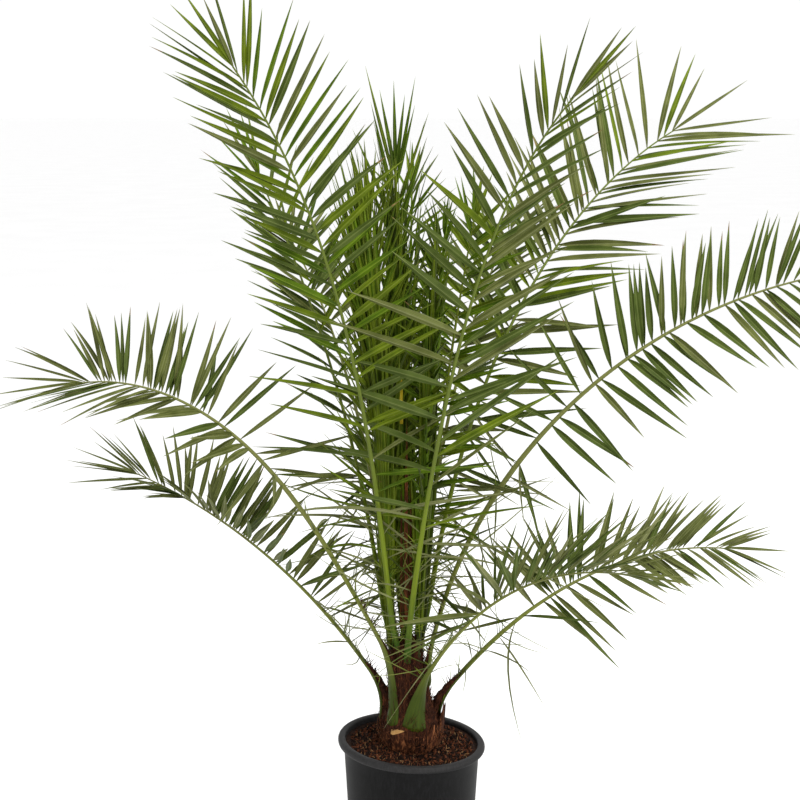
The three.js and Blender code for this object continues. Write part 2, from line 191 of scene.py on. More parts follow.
# Palm leaflet: a living blade under a waxy cuticle. Satin, with fine veins running along it,
# a paler keel and pale margins; the vein streaks also carry painted sheen and painted shade.
def palmLeaflet(name, body, shade, pale):
    material, add, finish = newMaterial(name)
    uv = add("UVMap", {"uv_map": "leafUv"})
    across = add("SeparateXYZ", None, {0: uv})
    # veins lie about 1 mm apart on a 16 mm blade, drawn a little coarser to show
    veinPlace = add("Mapping", {"Scale": (14, 0.9, 1)}, {"Vector": uv})
    veins = add("TexNoise", {"Scale": 1.0, "Detail": 3, "Roughness": 0.6}, {"Vector": veinPlace})
    where = add("TexCoord")
    patches = add("TexNoise", {"Scale": 22, "Detail": 2}, {"Vector": where.outputs["Object"]})
    tone = add("ValToRGB", {"stops": [(0.34, shade), (0.62, body)]}, {"Fac": patches})
    # painted sheen and painted shade over real veins: the streaks' bright end is lifted and bluish like a
    # waxy gloss, and their dark end is deepened like shadow
    streak = add("ValToRGB", {"stops": [(0.34, (0.42, 0.5, 0.32)), (0.66, (1.62, 1.52, 1.9))]},
                 {"Fac": veins})
    veinsWithPaintedSheenAndShade = add("Mix", {"data_type": "RGBA", "blend_type": "MULTIPLY", 0: 0.9}, {6: tone, 7: streak})
    # pale at the margins and on the keel
    pales = ((0.0, 0.45), (0.07, 0), (0.45, 0), (0.5, 0.5), (0.55, 0), (0.93, 0), (1.0, 0.45))
    lines = add("ValToRGB", {"stops": [(at, (v, v, v)) for at, v in pales]}, {"Fac": across})
    marked = add("Mix", {"data_type": "RGBA", 7: linear(pale)}, {0: lines, 6: veinsWithPaintedSheenAndShade.outputs[2]})
    gloss = add("MapRange", {"To Min": 0.42, "To Max": 0.6}, {"Value": veins})
    relief = add("Bump", {"Strength": 0.35, "Distance": 0.0006}, {"Height": veins})
    finish({"IOR": 1.45, "Specular IOR Level": 0.08},
           {"Base Color": marked.outputs[2], "Roughness": gloss, "Normal": relief})
    return material


# Leaf stalk: smooth green rind with faint lengthwise ribs, slightly shiny, dark at its foot
# and duller out along the rib.
def leafStalk(name, foot, body, upper):
    material, add, finish = newMaterial(name)
    uv = add("UVMap", {"uv_map": "pieceUv"})
    along = add("SeparateXYZ", None, {0: uv})
    ribPlace = add("Mapping", {"Scale": (14, 7, 1)}, {"Vector": uv})
    ribs = add("TexNoise", {"Scale": 1.0, "Detail": 3}, {"Vector": ribPlace})
    length = add("ValToRGB", {"stops": [(0.14, foot), (0.42, body), (0.66, body), (1.0, upper)]},
                 {"Fac": along.outputs["Y"]})
    streak = add("ValToRGB", {"stops": [(0.3, (0.66, 0.7, 0.62)), (0.68, (1.14, 1.12, 1.1))]}, {"Fac": ribs})
    tone = add("Mix", {"data_type": "RGBA", "blend_type": "MULTIPLY", 0: 0.9}, {6: length, 7: streak})
    gloss = add("MapRange", {"To Min": 0.38, "To Max": 0.54}, {"Value": ribs})
    relief = add("Bump", {"Strength": 0.3, "Distance": 0.0008}, {"Height": ribs})
    finish({"IOR": 1.45, "Specular IOR Level": 0.14},
           {"Base Color": tone.outputs[2], "Roughness": gloss, "Normal": relief})
    return material


# Dry plant matter: dull, with streaks of light and dark fibre that run up the piece.
def dryFibre(name, dark, middle, light, streakMm, stretch=9):
    material, add, finish = newMaterial(name)
    where = add("TexCoord")
    fine = 1000 / streakMm
    longer = add("Mapping", {"Scale": (fine, fine, fine / stretch)}, {"Vector": where.outputs["Object"]})
    fibres = add("TexNoise", {"Scale": 1.0, "Detail": 5, "Roughness": 0.65, "Distortion": 0.6},
                 {"Vector": longer})
    tone = add("ValToRGB", {"stops": [(0.32, dark), (0.52, middle), (0.7, light)]}, {"Fac": fibres})
    relief = add("Bump", {"Strength": 0.8, "Distance": 0.0015}, {"Height": fibres})
    finish({"Roughness": 0.9, "IOR": 1.4, "Specular IOR Level": 0.2}, {"Base Color": tone, "Normal": relief})
    return material


# Polypropylene, injection moulded and left matt: black, with a fine grain, grey dust that ran down
# the wall in streaks, and a rim lighter grey from its lip up, partly real dust and partly painted highlight.
def matteMouldedPlastic(name, body, dust, rimDustAndHighlight, rimFrom, rimBlend=0.008):
    material, add, finish = newMaterial(name)
    where = add("TexCoord").outputs["Object"]
    grain = add("TexNoise", {"Scale": 900, "Detail": 2}, {"Vector": where})
    # streaks about 5 mm wide and four times as long, broken into specks
    running = add("Mapping", {"Scale": (190, 190, 45)}, {"Vector": where})
    smears = add("TexNoise", {"Scale": 1.0, "Detail": 6, "Roughness": 0.75, "Distortion": 0.8},
                 {"Vector": running})
    tone = add("ValToRGB", {"stops": [(0.46, body), (0.78, dust)]}, {"Fac": smears})
    height = add("SeparateXYZ", None, {0: where})
    # painted highlight mixed with real dust: from the lip up the rim turns lighter grey all round
    rimDustAndHighlightMask = add("MapRange", {"From Min": rimFrom, "From Max": rimFrom + rimBlend},
               {"Value": height.outputs["Z"]})
    patchy = add("Math", {"operation": "MULTIPLY"}, {0: rimDustAndHighlightMask, 1: smears})
    rimDustedAndLit = add("Mix", {"data_type": "RGBA", 7: linear(rimDustAndHighlight)}, {0: patchy, 6: tone})
    gloss = add("MapRange", {"To Min": 0.42, "To Max": 0.66}, {"Value": smears})
    relief = add("Bump", {"Strength": 0.12, "Distance": 0.0005}, {"Height": grain})
    finish({"IOR": 1.49, "Specular IOR Level": 0.11},
           {"Base Color": rimDustedAndLit.outputs[2], "Roughness": gloss, "Normal": relief})
    return material


leafTints = {
    "olive": palmLeaflet("leafletOliveGreen", "#595f2e", "#454b20", "#999b72"),
    "deep": palmLeaflet("leafletDeepGreen", "#475420", "#354213", "#868e56"),
    "fresh": palmLeaflet("leafletFreshGreen", "#58680f", "#3f4e09", "#949d4e"),
    "dusty": palmLeaflet("leafletDustyGreen", "#6e7244", "#575c33", "#a8a984"),
    "young": palmLeaflet("leafletYoungGreen", "#4b630a", "#334706", "#8f9d42"),
}
dryTip = dryFibre("dryLeafTip", "#4f4023", "#6f5b36", "#8c7850", 3)
stalkGreen = leafStalk("leafStalkGreen", "#34500f", "#6b7a1f", "#5c6828")
stalkPale = leafStalk("leafStalkPale", "#354208", "#6d7334", "#696c3a")
stalkYoung = leafStalk("leafStalkYoung", "#2c370a", "#3f4b0d", "#596417")
stemFibre = dryFibre("mattedStemFibre", "#160a05", "#351a0e", "#6b3d22", 4)
rustFibre = dryFibre("looseRustFibre", "#2a1508", "#4c2a13", "#7a4a26", 3)
oldLeafBase = dryFibre("dryLeafBase", "#140805", "#4a2817", "#9c633d", 5)
cutFace = dryFibre("dryCutFace", "#a67c48", "#bd9159", "#caa56f", 1.2)
yellowLeaf = dryFibre("yellowedLeaf", "#8f7a14", "#b59c22", "#cbb544", 3)
pottingSoil = dryFibre("dampPottingSoil", "#100704", "#22120a", "#3a2214", 5, 1)
barkCrumb = dryFibre("redBarkCrumb", "#2f170c", "#502b18", "#744429", 4, 1)
peatCrumb = dryFibre("darkPeatCrumb", "#0e0704", "#1b0f09", "#2f1c11", 4, 1)
strawBit = dryFibre("paleStrawBit", "#6b4b2f", "#926d48", "#b8966b", 2, 1)
potPlastic = matteMouldedPlastic("mouldedBlackPlastic", "#060606", "#1b1b1c", "#393838", 0.274)
print("materials made")


# Pot: turned from its profile, with a rolled rim

pot = dict(
    height=0.291, rimRadius=0.150, mouthRadius=0.138, footRadius=0.122, footBevel=0.004, wall=0.003,
    wallFrom=0.012, wallRings=12, rimHeight=0.014, shoulder=0.006, lip=(0.001, 0.002), roll=0.005,
    rollSteps=9, innerEdge=0.004, around=160, skew=0.009)


def potRadiusAt(height):
    return float(np.interp(height, [0, pot["height"] - pot["rimHeight"]],
                           [pot["footRadius"], pot["mouthRadius"]]))


def skewAt(x, height):  # the soft rim sits higher on the left
    return -pot["skew"] * x / pot["rimRadius"] * (height / pot["height"]) ** 4


def turned(name, profile, around):  # profile is (radius, height) pairs from axis to axis
    profile = np.array(profile)
    inner = profile[1:-1]
    angles = turnsOf(around)
    ring = np.c_[np.cos(angles), np.sin(angles)]
    points = [np.c_[ring * r, np.full(around, z)] for r, z in inner]
    points = np.vstack(points + [[[0, 0, profile[0, 1]]], [[0, 0, profile[-1, 1]]]])
    points[:, 2] += skewAt(points[:, 0], points[:, 2])
    faces = tubeFaces(len(inner), around)[:-2]
    low, high, last = len(points) - 2, len(points) - 1, (len(inner) - 1) * around
    for i in range(around):
        j = (i + 1) % around
        faces += [(low, j, i), (high, last + i, last + j)]
    return makeMesh(name, points, faces)


def potProfile():
    top, rimRadius, rimHeight = pot["height"], pot["rimRadius"], pot["rimHeight"]
    roll, edge = pot["roll"], pot["innerEdge"]
    under, inside = top - rimHeight, pot["mouthRadius"] - pot["wall"]
    foot, bevel = pot["footRadius"], pot["footBevel"]
    profile = [(0, 0), (foot - bevel, 0)]
    for a in np.radians([30, 60, 90]):  # rounded foot
        profile.append((foot - bevel * (1 - math.sin(a)), bevel * (1 - math.cos(a))))
    rings = np.linspace(pot["wallFrom"], under - pot["shoulder"], pot["wallRings"])
    profile += [(potRadiusAt(z), z) for z in rings]
    profile += [(pot["mouthRadius"] + pot["lip"][0], under - pot["lip"][1]), (rimRadius - roll, under)]
    for a in np.radians(np.linspace(-80, 80, pot["rollSteps"])):  # outer roll
        profile.append((rimRadius - roll + roll * math.cos(a), top - rimHeight / 2 * (1 - math.sin(a))))
    profile.append(((rimRadius + inside) / 2, top))
    for a in np.radians(np.linspace(80, 0, 5)):  # inner edge
        profile.append((inside + edge * (1 - math.cos(a)), top - edge * (1 - math.sin(a))))
    return profile + [(inside, under - pot["shoulder"]),
                      (potRadiusAt(pot["wall"]) - pot["wall"], pot["wall"]), (0, pot["wall"])]


finishPiece("nurseryPot", turned("pot", potProfile(), pot["around"]), [potPlastic], 50, "pot", "pot")
print("pot turned")


# Soil: a rough filling with crumbs of bark, peat and straw strewn on it

soil = dict(
    top=0.278, edgeDrop=-0.002, flatShare=0.6, clear=0.0003, lump=0.0065, lumpScale=40, rings=46, around=150,
    bedInner=0.05, bedOuter=0.01, bedAbove=0.0012, bedRings=12, bedAround=60,
    hollowAt=(0.016, -0.068), hollowWidth=0.014, hollowDepth=0.009)
crumbs = {  # amount is for each square metre
    "peat": dict(amount=34000, size=(0.002, 0.007), seed=3, sides=5, squash=(1, 0.8, 0.7),
                 material=peatCrumb),
    "bark": dict(amount=15000, size=(0.003, 0.009), seed=5, sides=6, squash=(1.3, 0.8, 0.45),
                 material=barkCrumb),
    "straw": dict(amount=4200, size=(0.003, 0.008), seed=8, sides=4, squash=(2.4, 0.3, 0.2),
                  material=strawBit),
}
soilEdge = soil["top"] - soil["edgeDrop"]
soilRadius = potRadiusAt(soilEdge) - pot["wall"] - soil["clear"]


def soilHeightAt(x, y):
    r = math.hypot(x, y) / soilRadius
    base = float(np.interp(r, [0, soil["flatShare"], 1], [soil["top"], soil["top"], soilEdge]))
    away = math.hypot(x - soil["hollowAt"][0], y - soil["hollowAt"][1]) / soil["hollowWidth"]
    base -= soil["hollowDepth"] * math.exp(-away * away / 2)
    lumps = noise.fractal((x * soil["lumpScale"], y * soil["lumpScale"], 3.1), 0.8, 2.1, 5)
    return base + soil["lump"] * lumps * (1 - r ** 8) + skewAt(x, base) * r * r


def soilRing(radius, around, above=0):
    ring = [polar(a, radius) for a in turnsOf(around)]
    return [(x, y, soilHeightAt(x, y) + above) for x, y, _ in ring]


def soilMesh():
    floor = pot["wall"] + soil["clear"]
    reach = potRadiusAt(floor) - pot["wall"] - soil["clear"]
    points = [polar(a, reach, floor) for a in turnsOf(soil["around"])]
    for k in range(soil["rings"]):
        points += soilRing(soilRadius * (1 - k / soil["rings"]), soil["around"])
    return makeMesh("soil", points, tubeFaces(soil["rings"] + 1, soil["around"]))


def bedMesh():  # the open ring of soil that crumbs lie on, clear of the wall and of the stem
    points = []
    for k in range(soil["bedRings"]):
        reach = (soilRadius - soil["bedOuter"] - soil["bedInner"]) * k / (soil["bedRings"] - 1)
        points += soilRing(soil["bedInner"] + reach, soil["bedAround"], soil["bedAbove"])
    faces = tubeFaces(soil["bedRings"], soil["bedAround"])[:-2]
    return makeMesh("bed", points, [face[::-1] for face in faces])


def crumbMesh(sides, seed, squash):  # a small broken lump
    rng = np.random.default_rng(seed)
    points = [(0, 0, -0.5)]
    for z in (-0.25, 0.25):
        for i in range(sides):
            x, y, _ = polar((i + 0.5 * (z > 0)) * 2 * math.pi / sides, rng.uniform(0.35, 0.6))
            points.append((x, y, z + rng.uniform(-0.1, 0.1)))
    points.append((0, 0, 0.5))
    faces = []
    for i in range(sides):
        j = (i + 1) % sides
        faces += [(0, 1 + j, 1 + i), (1 + i, 1 + j, 1 + sides + i), (1 + j, 1 + sides + j, 1 + sides + i),
                  (1 + sides + i, 1 + sides + j, 1 + 2 * sides)]
    return makeMesh("crumb", np.array(points) * squash, faces)


# Strews one lump over a surface: seeded places, turns and sizes
def strewTree():
    tree, add, given = growthTree("strewCrumbs", {
        "Crumb": "Object", "Per square metre": "Float", "Smallest": "Float", "Largest": "Float",
        "Seed": "Int", "Material": "Material"})
    seed = {"Seed": given["Seed"]}
    spots = add("GeometryNodeDistributePointsOnFaces", None, {
        "Mesh": given["Geometry"], "Density": given["Per square metre"], **seed})
    shape = add("GeometryNodeObjectInfo", None, {"Object": given["Crumb"]})
    turn = add("FunctionNodeRandomValue", {"data_type": "FLOAT_VECTOR", "Max": (6.28, 6.28, 6.28)}, seed)
    size = add("FunctionNodeRandomValue", {"data_type": "FLOAT"},
               {2: given["Smallest"], 3: given["Largest"], **seed})
    strewn = add("GeometryNodeInstanceOnPoints", None, {
        "Points": spots, "Instance": shape.outputs["Geometry"], "Rotation": turn, "Scale": size.outputs[1]})
    solid = add("GeometryNodeRealizeInstances", None, {"Geometry": strewn})
    dressed = add("GeometryNodeSetMaterial", None, {"Geometry": solid, "Material": given["Material"]})
    add("NodeGroupOutput", None, {"Geometry": dressed})
    return tree


finishPiece("pottingSoil", soilMesh(), [pottingSoil], 60, "soil", "soil")
strew = strewTree()
for kind, crumb in crumbs.items():
    lump = makeObject("lump", crumbMesh(crumb["sides"], crumb["seed"], crumb["squash"]))
    piece = growByNodes("soilCrumbs_" + kind, makeObject("bed", bedMesh()), strew, {
        "Crumb": lump, "Per square metre": float(crumb["amount"]), "Smallest": crumb["size"][0],
        "Largest": crumb["size"][1], "Seed": crumb["seed"], "Material": crumb["material"]})
    bpy.data.objects.remove(lump)
    seat(piece, "soil")
print("soil filled")


# Stem: a short column of matted fibre with a flared foot, which reaches up between the stalks

stem = dict(
    height=0.207, foot=0.2783, lean=-0.012, settle=0.001,  # pieces settle that deep into the fibre
    coreShares=(0, 0.13, 0.33, 0.85, 0.957, 1), coreRadii=(0.064, 0.0545, 0.045, 0.033, 0.021, 0),
    # how far the fibre stands out, over the soil, at the waist and round the stalks
    fibreHeights=(0.278, 0.295, 0.315, 0.335, 0.352, 0.366, 0.40, 0.43, 0.46, 0.50),
    fibreRadii=(0.047, 0.055, 0.061, 0.060, 0.053, 0.046, 0.0410, 0.0370, 0.0335, 0.0300),
    # the bowl of old bases round it
    bowlHeights=(0.274, 0.290, 0.310, 0.330, 0.350, 0.390),
    bowlRadii=(0.046, 0.056, 0.0625, 0.066, 0.068, 0.071), fibreTop=0.503, ragged=0.012, matting=0.0016,
    weaveScale=(9, 160, 60), strandScale=(22, 18), lumps=0.003, lumpScale=(2.2, 26), rings=150, around=180,
    # share of the radius and depth of each ring of the top
    hollow=((0.82, 0.004), (0.5, 0.016), (0.12, 0.024)))


def stemRadiusAt(height):
    return np.interp((height - stem["foot"]) / stem["height"], stem["coreShares"], stem["coreRadii"])


def stemAxisAt(height):
    return np.array([stem["lean"] * (height - stem["foot"]) / stem["height"], 0, height])


def fibreRadiusAt(height):
    return float(np.interp(height, stem["fibreHeights"], stem["fibreRadii"]))


def fibreDepthAt(x, y, z):  # crossing strands, upright strands and lumps
    fine, slant, rise = stem["weaveScale"]
    weave = abs(noise.noise((x * fine + z * slant, y * fine, z * rise)))
    weave += abs(noise.noise((x * fine - z * slant, y * fine, 7 + z * rise)))
    fine, rise = stem["strandScale"]
    strands = abs(noise.noise((x * fine, y * fine, z * rise)))
    fine, rise = stem["lumpScale"]
    lump = noise.noise((x * fine, y * fine, z * rise))
    return stem["matting"] * (1.2 * strands + 0.7 * weave - 0.7) + stem["lumps"] * lump


def stemMesh():
    points = []
    turns = turnsOf(stem["around"])
    tufts = [noise.noise(polar(a, 6, 1)) + 0.6 * noise.noise(polar(a, 19, 4)) for a in turns]
    tops = [stem["fibreTop"] + stem["ragged"] * tuft for tuft in tufts]
    for k in range(stem["rings"]):
        share = k / (stem["rings"] - 1)
        for a, top in zip(turns, tops):
            z = stem["foot"] + share * (top - stem["foot"])
            x, y, _ = polar(a, 1)
            points.append(stemAxisAt(z) + polar(a, fibreRadiusAt(z) + fibreDepthAt(x, y, z)))
    for inward, drop in stem["hollow"]:
        points += [stemAxisAt(top) + polar(a, inward * fibreRadiusAt(top), -drop)
                   for a, top in zip(turns, tops)]
    return makeMesh("stem", points, tubeFaces(stem["rings"] + len(stem["hollow"]), stem["around"]))


finishPiece("fibrousStem", stemMesh(), [stemFibre], 70, "trunk", "trunk")
print("stem matted")


# Old leaf bases: ragged dry scales round the foot of the stem, one of them cut off square

oldBases = dict(
    places=9, firstAngle=242, width=0.048, topWidth=0.026, thickness=0.011, outerDrop=0, ragged=0.7,
    across=13, up=16,
    # turn by a share of a place, how far out, and share of the height
    layers=((0, 0.001, 1), (0.45, 0.005, 0.6)),
    heights=(0.044, 0.072, 0.102, 0.085, 0.070, 0.080, 0.082, 0.056))
cutStub = dict(height=0.058, outerDrop=0.015, width=0.036, topWidth=0.033, thickness=0.016, stand=0.003,
               ragged=0, across=9, up=8)
scaleRule = dict(sunk=0.004, bulgeAt=0.55, bulge=0.95, tearScales=(3.1, 8.3), rough=0.0014,
                 roughScale=(7, 2.5), thinning=0.55, edgeFall=0.3)


# loops of points up a curved scale, outer face and then inner face
def scalePoints(angle, scale, height, seed):
    points, rule = [], scaleRule
    count, width = scale["across"], scale["width"]
    coarse, fine = rule["tearScales"]
    for level in range(scale["up"]):
        v = level / (scale["up"] - 1)
        half = np.interp(v, [0, rule["bulgeAt"], 1], [width, width * rule["bulge"], scale["topWidth"]]) / 2
        for face in (1, -1):
            for i in range(count):
                u = (2 * i / (count - 1) - 1) * face
                tear = abs(noise.noise((u * coarse, seed, 0))) + abs(noise.noise((u * fine, seed, 5)))
                drop = scale["outerDrop"] * (0.55 - 0.45 * u) if face > 0 else 0
                z = stem["foot"] - rule["sunk"] + (height - drop) * v * (1 - scale["ragged"] * tear * v)
                r = float(np.interp(z, stem["bowlHeights"], stem["bowlRadii"])) + scale["stand"]
                place = (u * rule["roughScale"][0], v * rule["roughScale"][1], seed)
                r += rule["rough"] * noise.noise(place) * face
                inner = 1 - rule["thinning"] * v
                r -= scale["thickness"] * (inner if face < 0 else rule["edgeFall"] * abs(u) ** 3)
                points.append(polar(angle + u * half / r, r, z))
    return points


points, faces = [], []
for turn, stand, lower in oldBases["layers"]:
    for k, height in enumerate(oldBases["heights"]):
        angle = math.radians(oldBases["firstAngle"] + (k + 1 + turn) * 360 / oldBases["places"])
        faces += tubeFaces(oldBases["up"], 2 * oldBases["across"], len(points))
        points += scalePoints(angle, {**oldBases, "stand": stand}, height * lower, 3.7 * k + 50 * turn)
finishPiece("oldLeafBases", makeMesh("oldLeafBases", points, faces), [oldLeafBase], 50, "old_leaf_base",
            *[f"old_leaf_base_{k + 1}" for k in range(8)])

points = scalePoints(math.radians(oldBases["firstAngle"]), cutStub, cutStub["height"], 1.3)
mesh = makeMesh("cutStub", points, tubeFaces(cutStub["up"], 2 * cutStub["across"]))
mesh.polygons[len(mesh.polygons) - 1].material_index = 1  # the cut end
finishPiece("cutStub", mesh, [oldLeafBase, cutFace], 40, "cut_stub", "cut_stub")
print("old leaf bases set")


# Fronds: the ribs and the leaflets, by the rule that the solids follow, carried to finer leaflets

ribRule = dict(
    claspDepth=0.009, claspSteps=9, flarePower=1.15, bendRound=0.06, stalkDepth=0.011, leafyDepth=0.0080,
    tipWidth=0.003, tipDepth=0.0026, sunk=0.002, steps=240, turnShare=0.12, rings=90, around=12,
    footRound=0.012, footNarrow=0.75, footTuck=0.005, tuckReach=0.07, wrap=0.09, flatAbove=0.7,
    leafyTaper=0.8, ringCrowding=1.4,
    # where a leaflet's foot sits on the rib, as shares of its half width and depth
    bladeOut=0.75, bladeUp=0.25)
leafletRule = dict(
    pitchAt=(0, 0.2, 0.5, 1), pitch=(0.050, 0.036, 0.0275, 0.0215), firstAt={1: 0.006, -1: 0.018},
    endClear=0.006, fanAt=(0, 0.15, 0.3, 0.45, 0.6, 0.8, 0.92, 1), lengthAt=(0, 0.12, 0.35, 0.65, 1),
    widthAt=(0, 0.15, 0.6, 1), looseAt=(0, 0.3, 1), loose=(1, 0.4, 0.26), looseFan=24, looseLift=30, slip=0.3,
    crowding=0.95, droop=0.05, lengthVary=(0.8, 1.06), widthVary=(0.85, 1.1), leastRoom=0.004,
    sagVary=(0.2, 1.7), forward=(-0.01, 0.06), dryShare=0.14, dryFrom=(0.86, 0.97), shade=0.2, seed=11)
endRule = dict(fan=(-1, 0.1, 1), lengths=(0.92, 1, 0.86), width=0.0105, back=0.002)
thinRule = dict(
    past=1.06, fan=70, looseFan=26, lift=(-10, 60), lengthAt=(0, 0.4, 1), lengths=(0.5, 0.9, 1.0),
    lengthVary=(0.6, 1.3), width=(0.0036, 0.0085), widthVary=(0.7, 1.2), curl=0.15, sag=-0.10, dusty=0.65)
foldedRule = dict(start=0.02, slip=0.01, fan=(1, 5), turn=1.2, length=(0.20, 0.36), width=(0.008, 0.014),
                  stand=0.006, sweepFrom=0.3, sweepOver=0.3)

# fan is each leaflet's angle from the rib, and lift how far it rises from the blade's plane, from the rib's
# foot to its tip; rows hold what differs between the leaflets to the right and to the left of the rib, seen
# from above; tints are shares of olive, deep, fresh, dusty and young green
everyFrond = dict(
    claspShown=1, footTurn=0, tuck=0, roll=0, stalkWidth=0.014, leafyWidth=0.0092, twist=26, messy=1,
    gaps=(0.5, 0.6, 1.9), widths=(0.6, 1, 1, 0.85), endFan=10, endLength=0.78, foldedTo=0.72, sweep=(0, 0, 0),
    rows=({}, {}))
tiers = {
    "low": dict(
        height=0.375, clasp=0.055, bare=0.33, thinFrom=0.5, thinPitch=0.034, footWidth=0.024, flare=0.09,
        width=0.0150, lengths=(0.95, 1.05, 1, 0.95, 0.88), closer=(0.5, 0.5),
        fan=(125, 110, 84, 66, 56, 46, 34, 14), lift=(30, 16)),
    "arching": dict(
        height=0.430, clasp=0.080, bare=0.38, thinFrom=0.45, thinPitch=0.036, claspShown=0.3, footWidth=0.024,
        flare=0.12, leaf=0.190, width=0.0178, lengths=(0.9, 1.05, 1, 0.95, 0.88),
        fan=(105, 90, 76, 68, 62, 54, 42, 18), lift=(30, 16)),
    "tall": dict(
        height=0.450, clasp=0.030, bare=0.26, thinFrom=0.3, thinPitch=0.030, footWidth=0.020, flare=0.08,
        tuck=0.014, leaf=0.220, lengths=(1, 1.2, 1, 1, 0.88), gaps=(0.8, 1.2), widths=(0.5, 0.95, 1, 0.75),
        fan=(90, 78, 66, 60, 54, 44, 34, 14), lift=(24, 10)),
    "young": dict(
        height=0.470, clasp=0.012, bare=0.30, thinFrom=0.45, thinPitch=0.040, footWidth=0.015, flare=0.05,
        tuck=0.005, leaf=0.200, lengths=(0.85, 1, 1, 1, 0.88), closer=(0.55, 0.55), gaps=(0.6, 1.4), twist=80,
        widths=(0.7, 1, 1, 0.8), fan=(40, 36, 32, 28, 26, 22, 16, 7), lift=(34, 16)),
}
